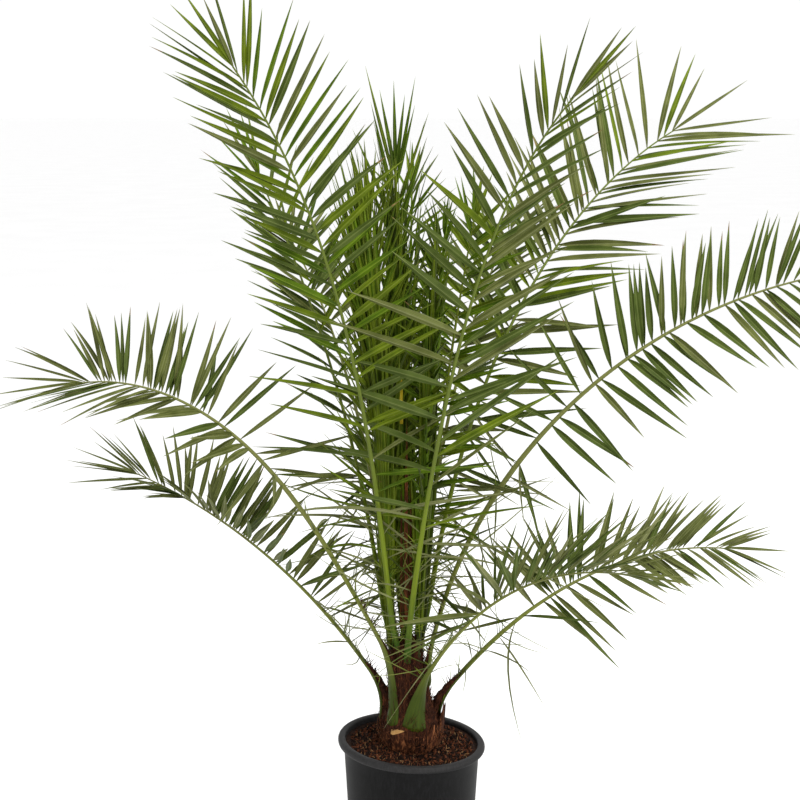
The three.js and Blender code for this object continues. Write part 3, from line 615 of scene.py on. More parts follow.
# each frond has its azimuth, its length, and the slopes where its rib starts and ends
fronds = {
    "spear": dict(
        tier="young", azimuth=165, height=0.484, radius=0.003, clasp=0, length=0.950, rise=89, tip=88.6,
        bend=1, roll=75, lengths=(1.2, 1.2, 1.1, 1, 1.05), endLength=0.9,
        fan=(10, 10, 10, 12, 14, 18, 22, 18), lift=(0, 0), closer=(0.6, 0.6, 0.8, 1.1), width=0.0105,
        folded=190, tints=(0, 0.1, 0.3, 0, 0.6)),
    "frond_tall_left": dict(
        tier="tall", azimuth=235, length=1.290, rise=81, tip=43, bend=2, roll=30, width=0.0180,
        closer=(0.95, 0.9), gaps=(0.9, 1.1), messy=0.7, lift=(16, 10), lengths=(1, 1.15, 1, 1, 0.98),
        tuck=0.018,
        rows=(dict(closer=(2, 1, 0.95, 0.9), widths=(0.35, 0.8, 1, 0.75), lengths=(1, 1.1, 0.95, 0.82, 0.92),
                   fan=(95, 80, 68, 61, 54, 44, 34, 14)),
              dict(lengths=(1, 1.12, 0.97, 0.9, 0.95), fan=(95, 84, 74, 68, 62, 50, 36, 14))),
        tints=(0.1, 0.2, 0.4, 0, 0.3)),
    "frond_tall_front": dict(
        tier="tall", azimuth=306, foot=272, length=1.248, rise=76, tip=38, bend=3, roll=-40, leaf=0.200,
        lengths=(1.2, 1.45, 1.25, 1, 1.05), width=0.0205, widths=(0.55, 1, 1, 0.55), endFan=5, endLength=0.9,
        rows=(dict(closer=(1.7, 1.3, 1.15), lengths=(1.1, 1.32, 1.22, 0.95, 0.82),
                   fan=(100, 96, 86, 73, 62, 50, 30, 4), lift=(0, 15)),
              dict(closer=(1.5, 1.3, 1.4), width=0.0195, lengths=(1.2, 1.45, 1.25, 0.95, 0.9),
                   fan=(80, 62, 52, 47, 43, 34, 22, 6), lift=(15, 15))),
        tints=(0.33, 0.52, 0.15, 0, 0)),
    "frond_tall_right": dict(
        tier="tall", azimuth=36, length=1.316, rise=81, tip=23, bend=1.45, roll=40, leaf=0.245,
        lengths=(0.8, 0.95, 0.92, 1, 1.15), width=0.0182, lift=(24, 16), endFan=24, endLength=1.1,
        rows=(dict(closer=(1.7, 1.15, 0.75, 0.8, 1.2), fan=(85, 80, 76, 66, 54, 45, 40, 26)),
              dict(closer=(1.7, 1.05, 0.65, 0.75, 1.3), fan=(80, 72, 64, 58, 56, 54, 50, 28))),
        tints=(0.6, 0.2, 0.2, 0, 0)),
    "frond_tall_rear": dict(
        tier="tall", azimuth=158, length=1.020, rise=83, tip=63, bend=1.2, roll=-30, leaf=0.200,
        closer=(2.4, 1.3), width=0.0135, tints=(0.1, 0.4, 0.2, 0, 0.3)),
    "frond_arch_left": dict(
        tier="arching", azimuth=183, foot=214, footTurn=18, height=0.460, clasp=0.124, length=0.888,
        rise=62.7, tip=-7, bend=2.68, roll=-30, claspShown=1, footWidth=0.030, width=0.0184, stalkWidth=0.020,
        leafyWidth=0.0125, bare=0.47, thinPitch=0.09, messy=1.4, endFan=16, endLength=0.95,
        gaps=(0.55, 0.65, 0.75, 2.1),
        rows=(dict(closer=(0.9, 0.55, 0.42, 0.36, 0.36), widths=(0.35, 0.55, 1, 0.85),
                   lengths=(1.2, 1.2, 1.08, 1, 0.87), fan=(145, 124, 100, 86, 82, 80, 66, 22), lift=(30, 20)),
              dict(closer=(1.3, 0.8, 0.5, 0.38, 0.3), lengths=(0.8, 0.85, 0.8, 0.85, 1),
                   fan=(90, 80, 72, 60, 52, 40, 26, 12), lift=(10, 0, 0, 4))),
        tints=(0.7, 0.3, 0, 0, 0)),
    "frond_arch_right": dict(
        tier="arching", azimuth=2, foot=-12, length=1.240, rise=82, tip=8, bend=1, roll=55, leaf=0.185,
        leafyWidth=0.0115, gaps=(0.7, 0.8, 1.5),
        rows=(dict(closer=(1.2, 0.95, 0.75), fan=(110, 95, 84, 76, 70, 62, 52, 24), lift=(0, 0)),
              dict(closer=(0.8, 0.52, 0.52), widths=(0.5, 0.75, 1, 0.9),
                   fan=(110, 92, 76, 68, 62, 56, 44, 20), lift=(24, 16))),
        tints=(0.25, 0.75, 0, 0, 0)),
    "frond_arch_rear_left": dict(
        tier="arching", azimuth=120, length=1.020, rise=80, tip=34, bend=1.3, closer=(1.8, 0.8, 0.75),
        tints=(0.5, 0.4, 0.1, 0, 0)),
    "frond_arch_rear_right": dict(
        tier="arching", azimuth=66, length=1.050, rise=79, tip=30, bend=1.3, closer=(1.8, 0.8, 0.75),
        tints=(0.5, 0.4, 0.1, 0, 0)),
    "frond_low_left": dict(
        tier="low", azimuth=172, height=0.385, length=0.692, rise=57, tip=22, bend=1.15, roll=-10, leaf=0.156,
        lengths=(1.2, 1.15, 1.02, 0.98, 1), width=0.0146, closer=(0.42, 0.42), endFan=24, endLength=0.9,
        rows=(dict(fan=(84, 88, 92, 92, 84, 56, 30, 12), lift=(58, 52, 44, 36)),
              dict(fan=(86, 90, 92, 90, 78, 58, 45, 14), lift=(60, 55, 42, -22))),
        tints=(0.7, 0.3, 0, 0, 0)),
    "frond_low_front": dict(
        tier="low", azimuth=322, foot=296, height=0.400, clasp=0.070, length=0.615, rise=57.5, tip=2,
        bend=1.5, roll=20, footWidth=0.052, flare=0.135, footTurn=-20, stalkWidth=0.018, leaf=0.185,
        width=0.0196,
        rows=(dict(closer=(0.44, 0.42), fan=(150, 130, 62, 42, 36, 30, 25, 12), lift=(60, 60, 60, 30)),
              dict(closer=(0.32, 0.32), fan=(140, 125, 75, 58, 52, 44, 30, 12), lift=(20, 20))),
        tints=(0.45, 0.35, 0, 0.2, 0)),
    "frond_low_right": dict(
        tier="low", azimuth=12, foot=18, height=0.355, clasp=0.035, length=0.726, rise=49.5, tip=-8,
        bend=1.35, roll=35, leaf=0.185, width=0.0156, endFan=24, endLength=0.85,
        rows=(dict(closer=(0.6, 0.5), lengths=(1.2, 1.2, 0.85, 0.65, 0.8),
                   fan=(76, 74, 68, 60, 56, 54, 50, 22), lift=(0, 0)),
              dict(closer=(0.4, 0.58), fan=(135, 100, 64, 48, 42, 38, 30, 14), lift=(20, 16))),
        tints=(0.55, 0.2, 0, 0.25, 0)),
    "frond_low_rear": dict(
        tier="low", azimuth=95, length=0.720, rise=62, tip=20, bend=1, leaf=0.165, tints=(0.6, 0.4, 0, 0, 0)),
    "frond_young_rear": dict(
        tier="young", azimuth=87, length=0.960, rise=86, tip=64, bend=1.5, leaf=0.130, width=0.0125,
        closer=(0.9, 0.9), lengths=(1.1, 1.1, 1, 1, 0.9), fan=(50, 60, 68, 70, 70, 62, 45, 20), folded=24,
        tints=(0, 0.15, 0.35, 0, 0.5)),
    "frond_young_left": dict(
        tier="young", azimuth=198, length=0.880, rise=89, tip=85, bend=1.5, roll=80, lift=(-8, -14),
        closer=(0.45, 0.32), width=0.0130, folded=360, foldedTo=0.8, sweep=(-0.22, -0.05, 0),
        tints=(0, 0, 0.7, 0, 0.3)),
    "frond_young_right": dict(
        tier="young", azimuth=10, length=0.880, rise=87, tip=79, bend=1.3, roll=80, twist=25, width=0.0140,
        closer=(0.8, 0.8), leaf=0.140, fan=(80, 76, 72, 70, 66, 58, 42, 14), tints=(0, 0.1, 0.3, 0, 0.6)),
    "frond_young_front": dict(
        tier="young", azimuth=335, foot=325, height=0.474, length=0.850, rise=89, tip=83, bend=1.5, roll=60,
        leaf=0.110, width=0.0135, twist=40, fan=(60, 58, 56, 54, 52, 46, 38, 26), folded=80,
        tints=(0, 0.15, 0.25, 0, 0.6)),
}
fronds = {name: {**everyFrond, **tiers[frond["tier"]], **frond} for name, frond in fronds.items()}


def headingOf(frond, share):
    foot = frond.get("foot", frond["azimuth"])
    left = np.exp(-np.maximum(0, share) / ribRule["turnShare"])
    down = np.clip(-share * frond["length"] / max(frond["clasp"], 1e-6), 0, 1)  # 1 at the clasp's foot
    return np.radians(frond["azimuth"] + (foot - frond["azimuth"]) * left + frond["footTurn"] * down)


def ribLine(frond):  # points up the clasp and out along the arch, with the distance along them
    points, clasp, length = [], frond["clasp"], frond["length"]
    for share in (np.linspace(1, 0, ribRule["claspSteps"]) if clasp > 0 else [0]):
        height = frond["height"] - share * clasp
        held = max(float(stemRadiusAt(height)), fibreRadiusAt(height) - stem["settle"])
        radius = frond.get("radius", held + ribRule["claspDepth"] / 2 - ribRule["sunk"])
        points.append(stemAxisAt(height) + polar(float(headingOf(frond, -share * clasp / length)), radius))
    share = (np.arange(ribRule["steps"]) + 0.5) / ribRule["steps"]
    slope = np.radians(frond["rise"] + (frond["tip"] - frond["rise"]) * share ** frond["bend"])
    turn = headingOf(frond, share)
    stride = np.c_[np.cos(slope) * np.cos(turn), np.cos(slope) * np.sin(turn), np.sin(slope)]
    points = np.vstack([points, points[-1] + np.cumsum(stride * length / ribRule["steps"], axis=0)])
    if clasp > 0:  # the turn from the clasp into the stalk is rounded off
        distance = distanceAlong(points)
        low, high = max(0, clasp - ribRule["bendRound"]), clasp + ribRule["bendRound"]
        start, corner, end = pointsAt([low, clasp, high], distance, points)
        t = np.clip((distance - low) / (high - low), 0, 1)[:, None]
        curve = start * (1 - t) ** 2 + corner * 2 * t * (1 - t) + end * t ** 2
        points = np.where((t > 0) & (t < 1), curve, points)
    return points, distanceAlong(points)


def turnedAbout(vectors, axes, angles):
    c, s = np.cos(angles)[:, None], np.sin(angles)[:, None]
    along = axes * np.sum(axes * vectors, axis=1, keepdims=True)
    return vectors * c + np.cross(axes, vectors) * s + along * (1 - c)


# spot, way along, side and upper face where share is 0 at the stem and 1 at the tip
def ribFrames(frond, line, share):
    points, along = line
    whole, step = along[-1], 0.004
    distances = whole - frond["length"] * (1 - share)
    before, spot, after = [pointsAt(np.clip(distances + d, 0, whole), along, points)
                           for d in (-step, 0, step)]
    way = unit(after - before)
    heading = headingOf(frond, share)
    side = np.c_[-np.sin(heading), np.cos(heading), np.zeros(len(share))]
    side = unit(side - way * np.sum(side * way, axis=1, keepdims=True))
    side = turnedAbout(side, way, np.radians(frond["roll"]) * np.clip(share / frond["bare"], 0, 1))
    return spot, way, side, np.cross(way, side)


def ribHalves(frond, share):  # half width and half depth of the rib, and how far it is still a clasp
    rule, bare, clasp = ribRule, frond["bare"], frond["clasp"]
    low = np.clip(1 - (share * frond["length"] + clasp) / frond["flare"], 0, 1)  # 1 at the clasp's foot
    held = low ** rule["flarePower"] * (clasp > 0)
    stalk = np.clip(share / bare, 0, 1)
    leafy = np.clip((share - bare) / (1 - bare), 0, 1) ** rule["leafyTaper"]
    widths = (frond["stalkWidth"], frond["leafyWidth"], rule["tipWidth"], frond["footWidth"])
    depths = (rule["stalkDepth"], rule["leafyDepth"], rule["tipDepth"], rule["claspDepth"])
    halves = []
    for first, last, tip, foot in (widths, depths):
        size = first + (last - first) * stalk + (tip - last) * leafy
        halves.append((size + (foot - size) * held) / 2)
    return *halves, held


def ribMeshData(frond, line):
    rule = ribRule
    whole = line[1][-1]
    start = (whole - frond["length"]) * (1 - frond["claspShown"])
    distances = start + (whole - start) * np.linspace(0, 1, rule["rings"]) ** rule["ringCrowding"]
    share = (distances - (whole - frond["length"])) / frond["length"]
    spot, way, side, out = ribFrames(frond, line, share)
    halfWidth, halfDepth, held = ribHalves(frond, share)
    # rounded foot, tucked in
    low = np.clip(1 - (distances - start) / rule["footRound"], 0, 1) * (frond["clasp"] > 0)
    halfWidth = halfWidth * np.sqrt(1 - rule["footNarrow"] * low ** 2)
    tuck = frond["tuck"] * np.exp(-(np.maximum(0, share) * frond["length"] / rule["tuckReach"]) ** 2)
    spot = spot + scaled(out, rule["footTuck"] * low ** 2 + tuck)
    angles = turnsOf(rule["around"])
    across, up = np.cos(angles), np.sin(angles)
    up = np.where(up > 0, up * rule["flatAbove"], up)  # flatter above, round below
    wide = across * halfWidth[:, None]
    tall = up * halfDepth[:, None] + held[:, None] * wide ** 2 / rule["wrap"]  # the foot wraps round the stem
    points = spot[:, None, :] + wide[..., None] * side[:, None, :] + tall[..., None] * out[:, None, :]
    uv = np.stack(np.broadcast_arrays(np.abs(angles / math.pi - 1), distances[:, None] * 2), -1)
    return points.reshape(-1, 3), uv.reshape(-1, 2)


neverDry = 2.0  # a leaflet browns from this share of its length on, and 1 is its tip


def blades(foot, aim, face, length, width, tint, bend=None, dry=None):
    count = len(foot)
    return dict(foot=foot, aim=aim, face=face, length=length, width=width, tint=tint,
                bend=np.zeros((count, 3)) if bend is None else bend,
                dry=np.full(count, neverDry) if dry is None else dry)


def joined(parts):
    return {key: np.concatenate([part[key] for part in parts]) for key in parts[0]}


def pickTints(frond, rng, count):
    return rng.choice(len(frond["tints"]), size=count, p=np.array(frond["tints"]) / sum(frond["tints"]))


# leaflets' feet on a rib, the ways they point and face, and its own
def onRib(frond, line, share, sign, angle, lift):
    spot, way, side, out = ribFrames(frond, line, share)
    halfWidth, halfDepth, _ = ribHalves(frond, share)
    outBy, upBy = sign * halfWidth * ribRule["bladeOut"], halfDepth * ribRule["bladeUp"]
    foot = spot + scaled(side, outBy) + scaled(out, upBy)
    across = scaled(side, sign * np.cos(lift)) + scaled(out, np.sin(lift))
    face = scaled(out, np.cos(lift)) - scaled(side, sign * np.sin(lift))
    return foot, scaled(way, np.cos(angle)) + scaled(across, np.sin(angle)), face, way, out


def leafletRow(frond, line, rng, sign):
    rule = leafletRule
    leafyLength = frond["length"] * (1 - frond["bare"])
    places, at = [], rule["firstAt"][sign]
    while at < leafyLength - rule["endClear"]:
        leafy = at / leafyLength
        pitch = float(np.interp(leafy, rule["pitchAt"], rule["pitch"]) * spreadOut(frond["closer"], leafy))
        places.append((at + rng.uniform(-rule["slip"], rule["slip"]) * pitch, pitch))
        at += pitch * rng.choice(frond["gaps"])
    at, pitch = np.array(places).T
    leafy = np.clip(at / leafyLength, 0, 1)
    count = len(leafy)
    share = 1 - (1 - frond["bare"]) * (1 - leafy)
    loose = np.interp(leafy, rule["looseAt"], rule["loose"]) * frond["messy"]
    fan = np.interp(leafy, rule["fanAt"], frond["fan"])
    angle = np.radians(fan + loose * rng.uniform(-rule["looseFan"], rule["looseFan"], count))
    lift = spreadOut(frond["lift"], leafy) + loose * rng.uniform(-rule["looseLift"], rule["looseLift"], count)
    length = frond["leaf"] * np.interp(leafy, rule["lengthAt"], frond["lengths"])
    length = length * rng.uniform(*rule["lengthVary"], count)
    room = rule["crowding"] * pitch * np.sin(angle) + rule["leastRoom"]
    width = np.minimum(frond["width"], room) * rng.uniform(*rule["widthVary"], count)
    width = width * np.interp(leafy, rule["widthAt"], frond["widths"])
    foot, aim, face, way, _ = onRib(frond, line, share, sign, angle, np.radians(lift))
    face = turnedAbout(face, aim, np.radians(frond["twist"] * rng.uniform(-1, 1, count)))
    level = np.sqrt(np.maximum(0, 1 - aim[:, 2] ** 2))
    sag = rng.uniform(*rule["sagVary"], count) * rule["droop"] * level * length
    bend = upward(-sag) + scaled(way, length * rng.uniform(*rule["forward"], count))
    dry = np.where(rng.random(count) < rule["dryShare"], rng.uniform(*rule["dryFrom"], count), neverDry)
    # painted shade: leaflets low on the rib, inside the crown, more often take the deep green
    deep = rng.random(count) < rule["shade"] * (1 - leafy) ** 2  # more deep green low down
    tint = np.where(deep, list(leafTints).index("deep"), pickTints(frond, rng, count))
    return blades(foot, aim, face, length, width, tint, bend, dry)


def endLeaflets(frond, line, rng):  # three leaflets end the rib
    rule = endRule
    spot, way, side, out = ribFrames(frond, line, np.full(3, 1 - rule["back"] / frond["length"]))
    fan = np.radians(np.array(rule["fan"]) * frond["endFan"])
    aim = unit(scaled(way, np.cos(fan)) + scaled(side, np.sin(fan)))
    length = frond["leaf"] * frond["endLength"] * np.array(rule["lengths"])
    return blades(spot, aim, out, length, np.full(3, rule["width"]), pickTints(frond, rng, 3))


def thinLeaflets(frond, line, rng):  # the lowest leaflets are narrow, loose and curled
    rule = thinRule
    low, high = frond["thinFrom"] * frond["bare"], frond["bare"] * rule["past"]
    count = 2 * max(2, int((high - low) * frond["length"] / frond["thinPitch"]))
    up = (np.arange(count) + rng.uniform(0, 1, count)) / count
    share = low + (high - low) * up
    sign = np.where(np.arange(count) % 2 == 0, 1.0, -1.0)
    fan = spreadOut((rule["fan"], frond["fan"][0]), up)
    angle = np.radians(fan + rng.uniform(-rule["looseFan"], rule["looseFan"], count))
    lift = np.radians(rng.uniform(*rule["lift"], count))
    length = frond["leaf"] * frond["lengths"][1] * np.interp(up, rule["lengthAt"], rule["lengths"])
    length = length * rng.uniform(*rule["lengthVary"], count)
    width = spreadOut(rule["width"], up) * rng.uniform(*rule["widthVary"], count)
    foot, aim, face, _, _ = onRib(frond, line, share, sign, angle, lift)
    bend = scaled(rng.normal(0, rule["curl"], (count, 3)) + np.array([0, 0, rule["sag"]]), length)
    dusty = rng.random(count) < rule["dusty"]
    tint = np.where(dusty, list(leafTints).index("dusty"), pickTints(frond, rng, count))
    return blades(foot, aim, face, length, width, tint, bend)


def foldedLeaflets(frond, line, rng):  # leaflets of an unopened leaf stand close along its rib
    rule, count = foldedRule, frond["folded"]
    slip = rng.uniform(-rule["slip"], rule["slip"], count)
    share = np.linspace(rule["start"], frond["foldedTo"], count) + slip
    spot, way, side, out = ribFrames(frond, line, share)
    turn = rng.uniform(0, 2 * math.pi, count)
    outward = scaled(side, np.cos(turn)) + scaled(out, np.sin(turn))
    angle = np.radians(rng.uniform(*rule["fan"], count))
    aim = scaled(way, np.cos(angle)) + scaled(outward, np.sin(angle))
    high = np.clip((share - rule["sweepFrom"]) / rule["sweepOver"], 0, 1)[:, None]
    aim = unit(aim + np.array(frond["sweep"]) * high * rng.random((count, 1)))  # fanned out to one side
    length = rng.uniform(*rule["length"], count)
    face = turnedAbout(-outward, aim, rng.uniform(-rule["turn"], rule["turn"], count))
    return blades(spot + outward * rule["stand"], aim, face, length, rng.uniform(*rule["width"], count),
                  pickTints(frond, rng, count))


def frondLeaflets(frond, line, rng):
    parts = [leafletRow({**frond, **row}, line, rng, sign) for sign, row in zip((-1, 1), frond["rows"])]
    parts.append(endLeaflets(frond, line, rng))
    parts.append(foldedLeaflets(frond, line, rng) if "folded" in frond else thinLeaflets(frond, line, rng))
    return joined(parts)


# One leaflet, a metre long and a metre wide along +X: folded up on both sides of its keel, closed and thin
blade = dict(
    along=(0, 0.05, 0.12, 0.22, 0.34, 0.48, 0.62, 0.76, 0.88, 0.96),
    half=(0.13, 0.27, 0.40, 0.485, 0.5, 0.445, 0.35, 0.23, 0.115, 0.045),
    fold=(55, 48, 40, 34, 30, 28, 26, 24, 22, 20), thick=0.045)
# One fibre, a metre long and a metre wide along +X
fibre = dict(along=(0, 0.3, 0.6, 0.85), half=(0.5, 0.46, 0.36, 0.2), sides=3)


def bladeMesh():
    points, uv = [], []
    keel = blade["thick"] / 2
    for share, half, fold in zip(blade["along"], blade["half"], np.radians(blade["fold"])):
        reach, rise = half * math.cos(fold), half * math.sin(fold)
        points += [(share, reach, rise), (share, 0, keel), (share, -reach, rise), (share, 0, -keel)]
        uv += [(0.5 - half, share), (0.5, share), (0.5 + half, share), (0.5, share)]
    return pointedMesh("blade", points, uv, 4)


def fibreMesh():
    points, uv = [], []
    for share, half in zip(fibre["along"], fibre["half"]):
        for i, turn in enumerate(turnsOf(fibre["sides"])):
            points.append((share, *polar(-turn, half)[:2]))
            uv.append((i / fibre["sides"], share))
    return pointedMesh("fibre", points, uv, fibre["sides"])


def pointedMesh(name, points, uv, around):  # loops along +X that run to a point at 1
    rings = len(points) // around
    faces = [tuple(range(around))]
    for ring in range(rings - 1):
        for i in range(around):
            j, a = (i + 1) % around, ring * around
            faces.append((a + i, a + around + i, a + around + j, a + j))
    last = (rings - 1) * around
    faces += [(last + i, rings * around, last + (i + 1) % around) for i in range(around)]
    points = np.array(points + [(1, 0, 0)])
    mesh = makeMesh(name, points, faces, uv + [(0.5, 1)], "leafUv")
    along = mesh.attributes.new("alongLeaf", growthKinds["alongLeaf"], "POINT")
    along.data.foreach_set("value", points[:, 0].astype(np.float32))
    return mesh


# Sets one leaflet or fibre on each point, bends it and browns the tips of the dry ones
def leafletTree():
    tree, add, given = growthTree("leafletsOnRibs", {
        "Leaflet": "Object", "Bend power": "Float", "Leaf": "Material", "Dry tip": "Material"})
    shape = add("GeometryNodeObjectInfo", None, {"Object": given["Leaflet"]})
    carried = {label: add("GeometryNodeInputNamedAttribute", {"data_type": kind, "Name": label})
               for label, kind in growthKinds.items()}
    leaves = add("GeometryNodeInstanceOnPoints", None, {
        "Points": given["Geometry"], "Instance": shape.outputs["Geometry"],
        "Rotation": carried["turn"], "Scale": carried["stretch"]})
    solid = add("GeometryNodeRealizeInstances", None, {"Geometry": leaves})
    power = add("Math", {"operation": "POWER"}, {0: carried["alongLeaf"], 1: given["Bend power"]})
    offset = add("VectorMath", {"operation": "SCALE"}, {0: carried["bendWay"], "Scale": power})
    bent = add("GeometryNodeSetPosition", None, {"Geometry": solid, "Offset": offset})
    isDry = add("FunctionNodeCompare", {"data_type": "FLOAT", "operation": "GREATER_THAN"},
                {0: carried["alongLeaf"], 1: carried["dryFrom"]})
    green = add("GeometryNodeSetMaterial", None, {"Geometry": bent, "Material": given["Leaf"]})
    browned = add("GeometryNodeSetMaterial", None, {
        "Geometry": green, "Selection": isDry, "Material": given["Dry tip"]})
    add("NodeGroupOutput", None, {"Geometry": browned})
    return tree


def leafletPoints(leaves):  # a cloud of points that carries each leaflet's turn, size and bend
    mesh = makeMesh("cloud", leaves["foot"], [])
    aim = unit(leaves["aim"])
    face = unit(leaves["face"] - aim * np.sum(leaves["face"] * aim, axis=1, keepdims=True))
    edge = np.cross(face, aim)
    turns = [tuple(Matrix(np.c_[a, e, f].tolist()).to_quaternion()) for a, e, f in zip(aim, edge, face)]
    stretch = np.c_[leaves["length"], leaves["width"], leaves["width"]]
    carried = {"turn": turns, "stretch": stretch, "bendWay": leaves["bend"], "dryFrom": leaves["dry"]}
    for label, values in carried.items():
        layer = mesh.attributes.new(label, growthKinds[label], "POINT")
        key = "vector" if growthKinds[label] == "FLOAT_VECTOR" else "value"
        layer.data.foreach_set(key, np.asarray(values, np.float32).ravel())
    return makeObject("cloud", mesh)


leafletNodes = leafletTree()


def growLeaflets(name, leaves, chosen, shape, material):
    picked = {key: values[chosen] for key, values in leaves.items()}
    return growByNodes(name, leafletPoints(picked), leafletNodes, {
        "Leaflet": shape, "Bend power": 2.0, "Leaf": material, "Dry tip": dryTip})


lines = {name: ribLine(frond) for name, frond in fronds.items()}
stalkOf = {"low": stalkPale, "arching": stalkPale, "tall": stalkGreen, "young": stalkYoung}
namesOf = {tier: [name for name, frond in fronds.items() if frond["tier"] == tier] for tier in tiers}

for tier, names in namesOf.items():
    points, uv, faces = [], [], []
    for name in names:
        ribPoints, ribUv = ribMeshData(fronds[name], lines[name])
        faces += tubeFaces(ribRule["rings"], ribRule["around"], sum(map(len, points)))
        points.append(ribPoints)
        uv.append(ribUv)
    mesh = makeMesh("ribs_" + tier, np.vstack(points), faces, np.vstack(uv))
    finishPiece("ribs_" + tier, mesh, [stalkOf[tier]], 60, "leaf_" + tier, *names)
print("ribs bent:", len(fronds))

leafletShape = makeObject("leafletShape", bladeMesh())
for tier, names in namesOf.items():
    seeds = {name: [leafletRule["seed"], list(fronds).index(name)] for name in names}
    every = joined([frondLeaflets(fronds[name], lines[name], np.random.default_rng(seeds[name]))
                    for name in names])
    for index, (tint, material) in enumerate(leafTints.items()):
        chosen = every["tint"] == index
        if not chosen.any():
            continue
        piece = growLeaflets(f"leaflets_{tier}_{tint}", every, chosen, leafletShape, material)
        shadeSmooth(piece.data, 24)
        seat(piece, "leaf_" + tier, *names)
        print("leaflets", tier, tint, int(chosen.sum()))
bpy.data.objects.remove(leafletShape)


# Sheaths: ragged brown webs on the upper face of the older stalks' feet

sheath = dict(
    start=0.1, reach=0.075, depth=0.026, leastDepth=0.001, thinning=1.1, width=0.95, edge=0.0015, rings=26,
    around=16, torn=0.8, tornScale=(3, 14),
    on=("frond_low_left", "frond_low_right", "frond_low_rear", "frond_arch_left", "frond_arch_right",
        "frond_arch_rear_left", "frond_arch_rear_right"))
points, faces = [], []
for k, name in enumerate(sheath["on"]):
    frond, whole = fronds[name], lines[name][1][-1]
    low = sheath["start"] * frond["clasp"]
    u = np.linspace(0, 1, sheath["rings"])
    distances = low + (frond["clasp"] - low + sheath["reach"]) * u
    share = 1 - (whole - distances) / frond["length"]
    spot, _, side, out = ribFrames(frond, lines[name], share)
    halfWidth, halfDepth, _ = ribHalves(frond, share)
    faces += tubeFaces(sheath["rings"], sheath["around"], len(points))
    for ring in range(sheath["rings"]):
        deep = sheath["depth"] * (1 - u[ring]) ** sheath["thinning"] + sheath["leastDepth"]
        wide = halfWidth[ring] * sheath["width"] + sheath["edge"] * (1 - u[ring])
        for turn in turnsOf(sheath["around"]):
            x, y, _ = polar(turn, 1)
            fine, rise = sheath["tornScale"]
            torn = 1 + sheath["torn"] * noise.noise((x * fine + k * 5, y * fine, u[ring] * rise))
            rise = deep * 0.5 * (1 + y * torn) + halfDepth[ring] * 0.2
            points.append(spot[ring] + side[ring] * wide * x * torn + out[ring] * rise)
finishPiece("stalkSheaths", makeMesh("stalkSheaths", points, faces), [stemFibre], 70, "trunk")


# Loose fibres on the stem, strands wound round its foot, spines and threads on the stalks

fibres = {
    "stem": dict(count=1100, length=(0.012, 0.042), width=(0.0010, 0.0018), seed=21, heights=(0.29, 0.50),
                 tilt=55, outward=(0.05, 0.35), curl=(-0.05, 0.25), rusty=0.22),
    "foot": dict(count=120, length=(0.030, 0.080), width=(0.0012, 0.0030), seed=22, stubClear=0.36, rise=0.05,
                 stand=0.005, tilt=(-22, 40), wind=0.8, sag=-0.1),
    "sheath": dict(perStalk=90, length=(0.006, 0.022), width=(0.0012, 0.0024), seed=25, lift=(35, 95),
                   share=(-0.25, 0.36), fan=(20, 85), curl=0.05),
    "spines": dict(perStalk=8, length=(0.014, 0.045), width=(0.0018, 0.0028), seed=23, lift=(0, 75),
                   share=(0.05, 0.9), fan=(35, 75), curl=0.03),
    "threads": dict(perStalk=12, length=(0.05, 0.16), width=(0.0018, 0.0028), seed=24, lift=(0, 75),
                    share=(0.2, 1.0), fan=(40, 110), curl=0.16),
}
# withered strips that stand round the spear, each with its azimuth, foot height, length, width and material
strips = dict(radius=0.021, bend=0.004, each=(
    (284, 0.55, 0.42, 0.011, 0), (258, 0.53, 0.30, 0.008, 0), (278, 0.95, 0.11, 0.009, 1),
    (310, 0.60, 0.26, 0.007, 0), (95, 0.56, 0.34, 0.009, 0), (150, 0.62, 0.22, 0.007, 1),
    (30, 0.58, 0.30, 0.008, 0)))


def outAndAround(turns):  # the ways out from the stem and round it
    outward = np.stack([polar(a, 1) for a in turns])
    return outward, np.c_[-outward[:, 1], outward[:, 0], np.zeros(len(turns))]


def onStem(heights, outward, radii):
    return np.stack([stemAxisAt(h) for h in heights]) + scaled(outward, radii)


def stemFibres(rule):
    rng, count = np.random.default_rng(rule["seed"]), rule["count"]
    turn, z = rng.uniform(0, 2 * math.pi, count), rng.uniform(*rule["heights"], count)
    outward, around = outAndAround(turn)
    tilt = np.radians(rng.uniform(-rule["tilt"], rule["tilt"], count))
    lean = rng.uniform(*rule["outward"], count)
    aim = upward(np.cos(tilt)) + scaled(around, np.sin(tilt)) + scaled(outward, lean)
    length = rng.uniform(*rule["length"], count)
    bend = scaled(-outward, length * rng.uniform(*rule["curl"], count))
    kind = (rng.random(count) < rule["rusty"]).astype(int)
    foot = onStem(z, outward, np.array([fibreRadiusAt(h) - stem["settle"] for h in z]))
    return blades(foot, unit(aim), outward, length, rng.uniform(*rule["width"], count), kind, bend)


def footStrands(rule):
    rng, count = np.random.default_rng(rule["seed"]), rule["count"]
    clear, stubTurn = rule["stubClear"], math.radians(oldBases["firstAngle"])  # none cross the cut stub
    turn = stubTurn + rng.uniform(clear, 2 * math.pi - clear, count)
    z = stem["foot"] + rule["rise"] * rng.uniform(0.02, 1, count) ** 1.3
    outward, around = outAndAround(turn)
    around = scaled(around, rng.choice([-1, 1], count))
    radius = np.interp(z, stem["bowlHeights"], stem["bowlRadii"]) + rng.uniform(0, rule["stand"], count)
    tilt = np.radians(rng.uniform(*rule["tilt"], count))
    aim = scaled(around, np.cos(tilt)) + upward(np.sin(tilt))
    length = rng.uniform(*rule["length"], count)
    bend = scaled(-outward, rule["wind"] * length ** 2 / (2 * radius)) + upward(rule["sag"] * length)
    return blades(onStem(z, outward, radius), aim, outward, length, rng.uniform(*rule["width"], count),
                  rng.choice(2, count), bend)


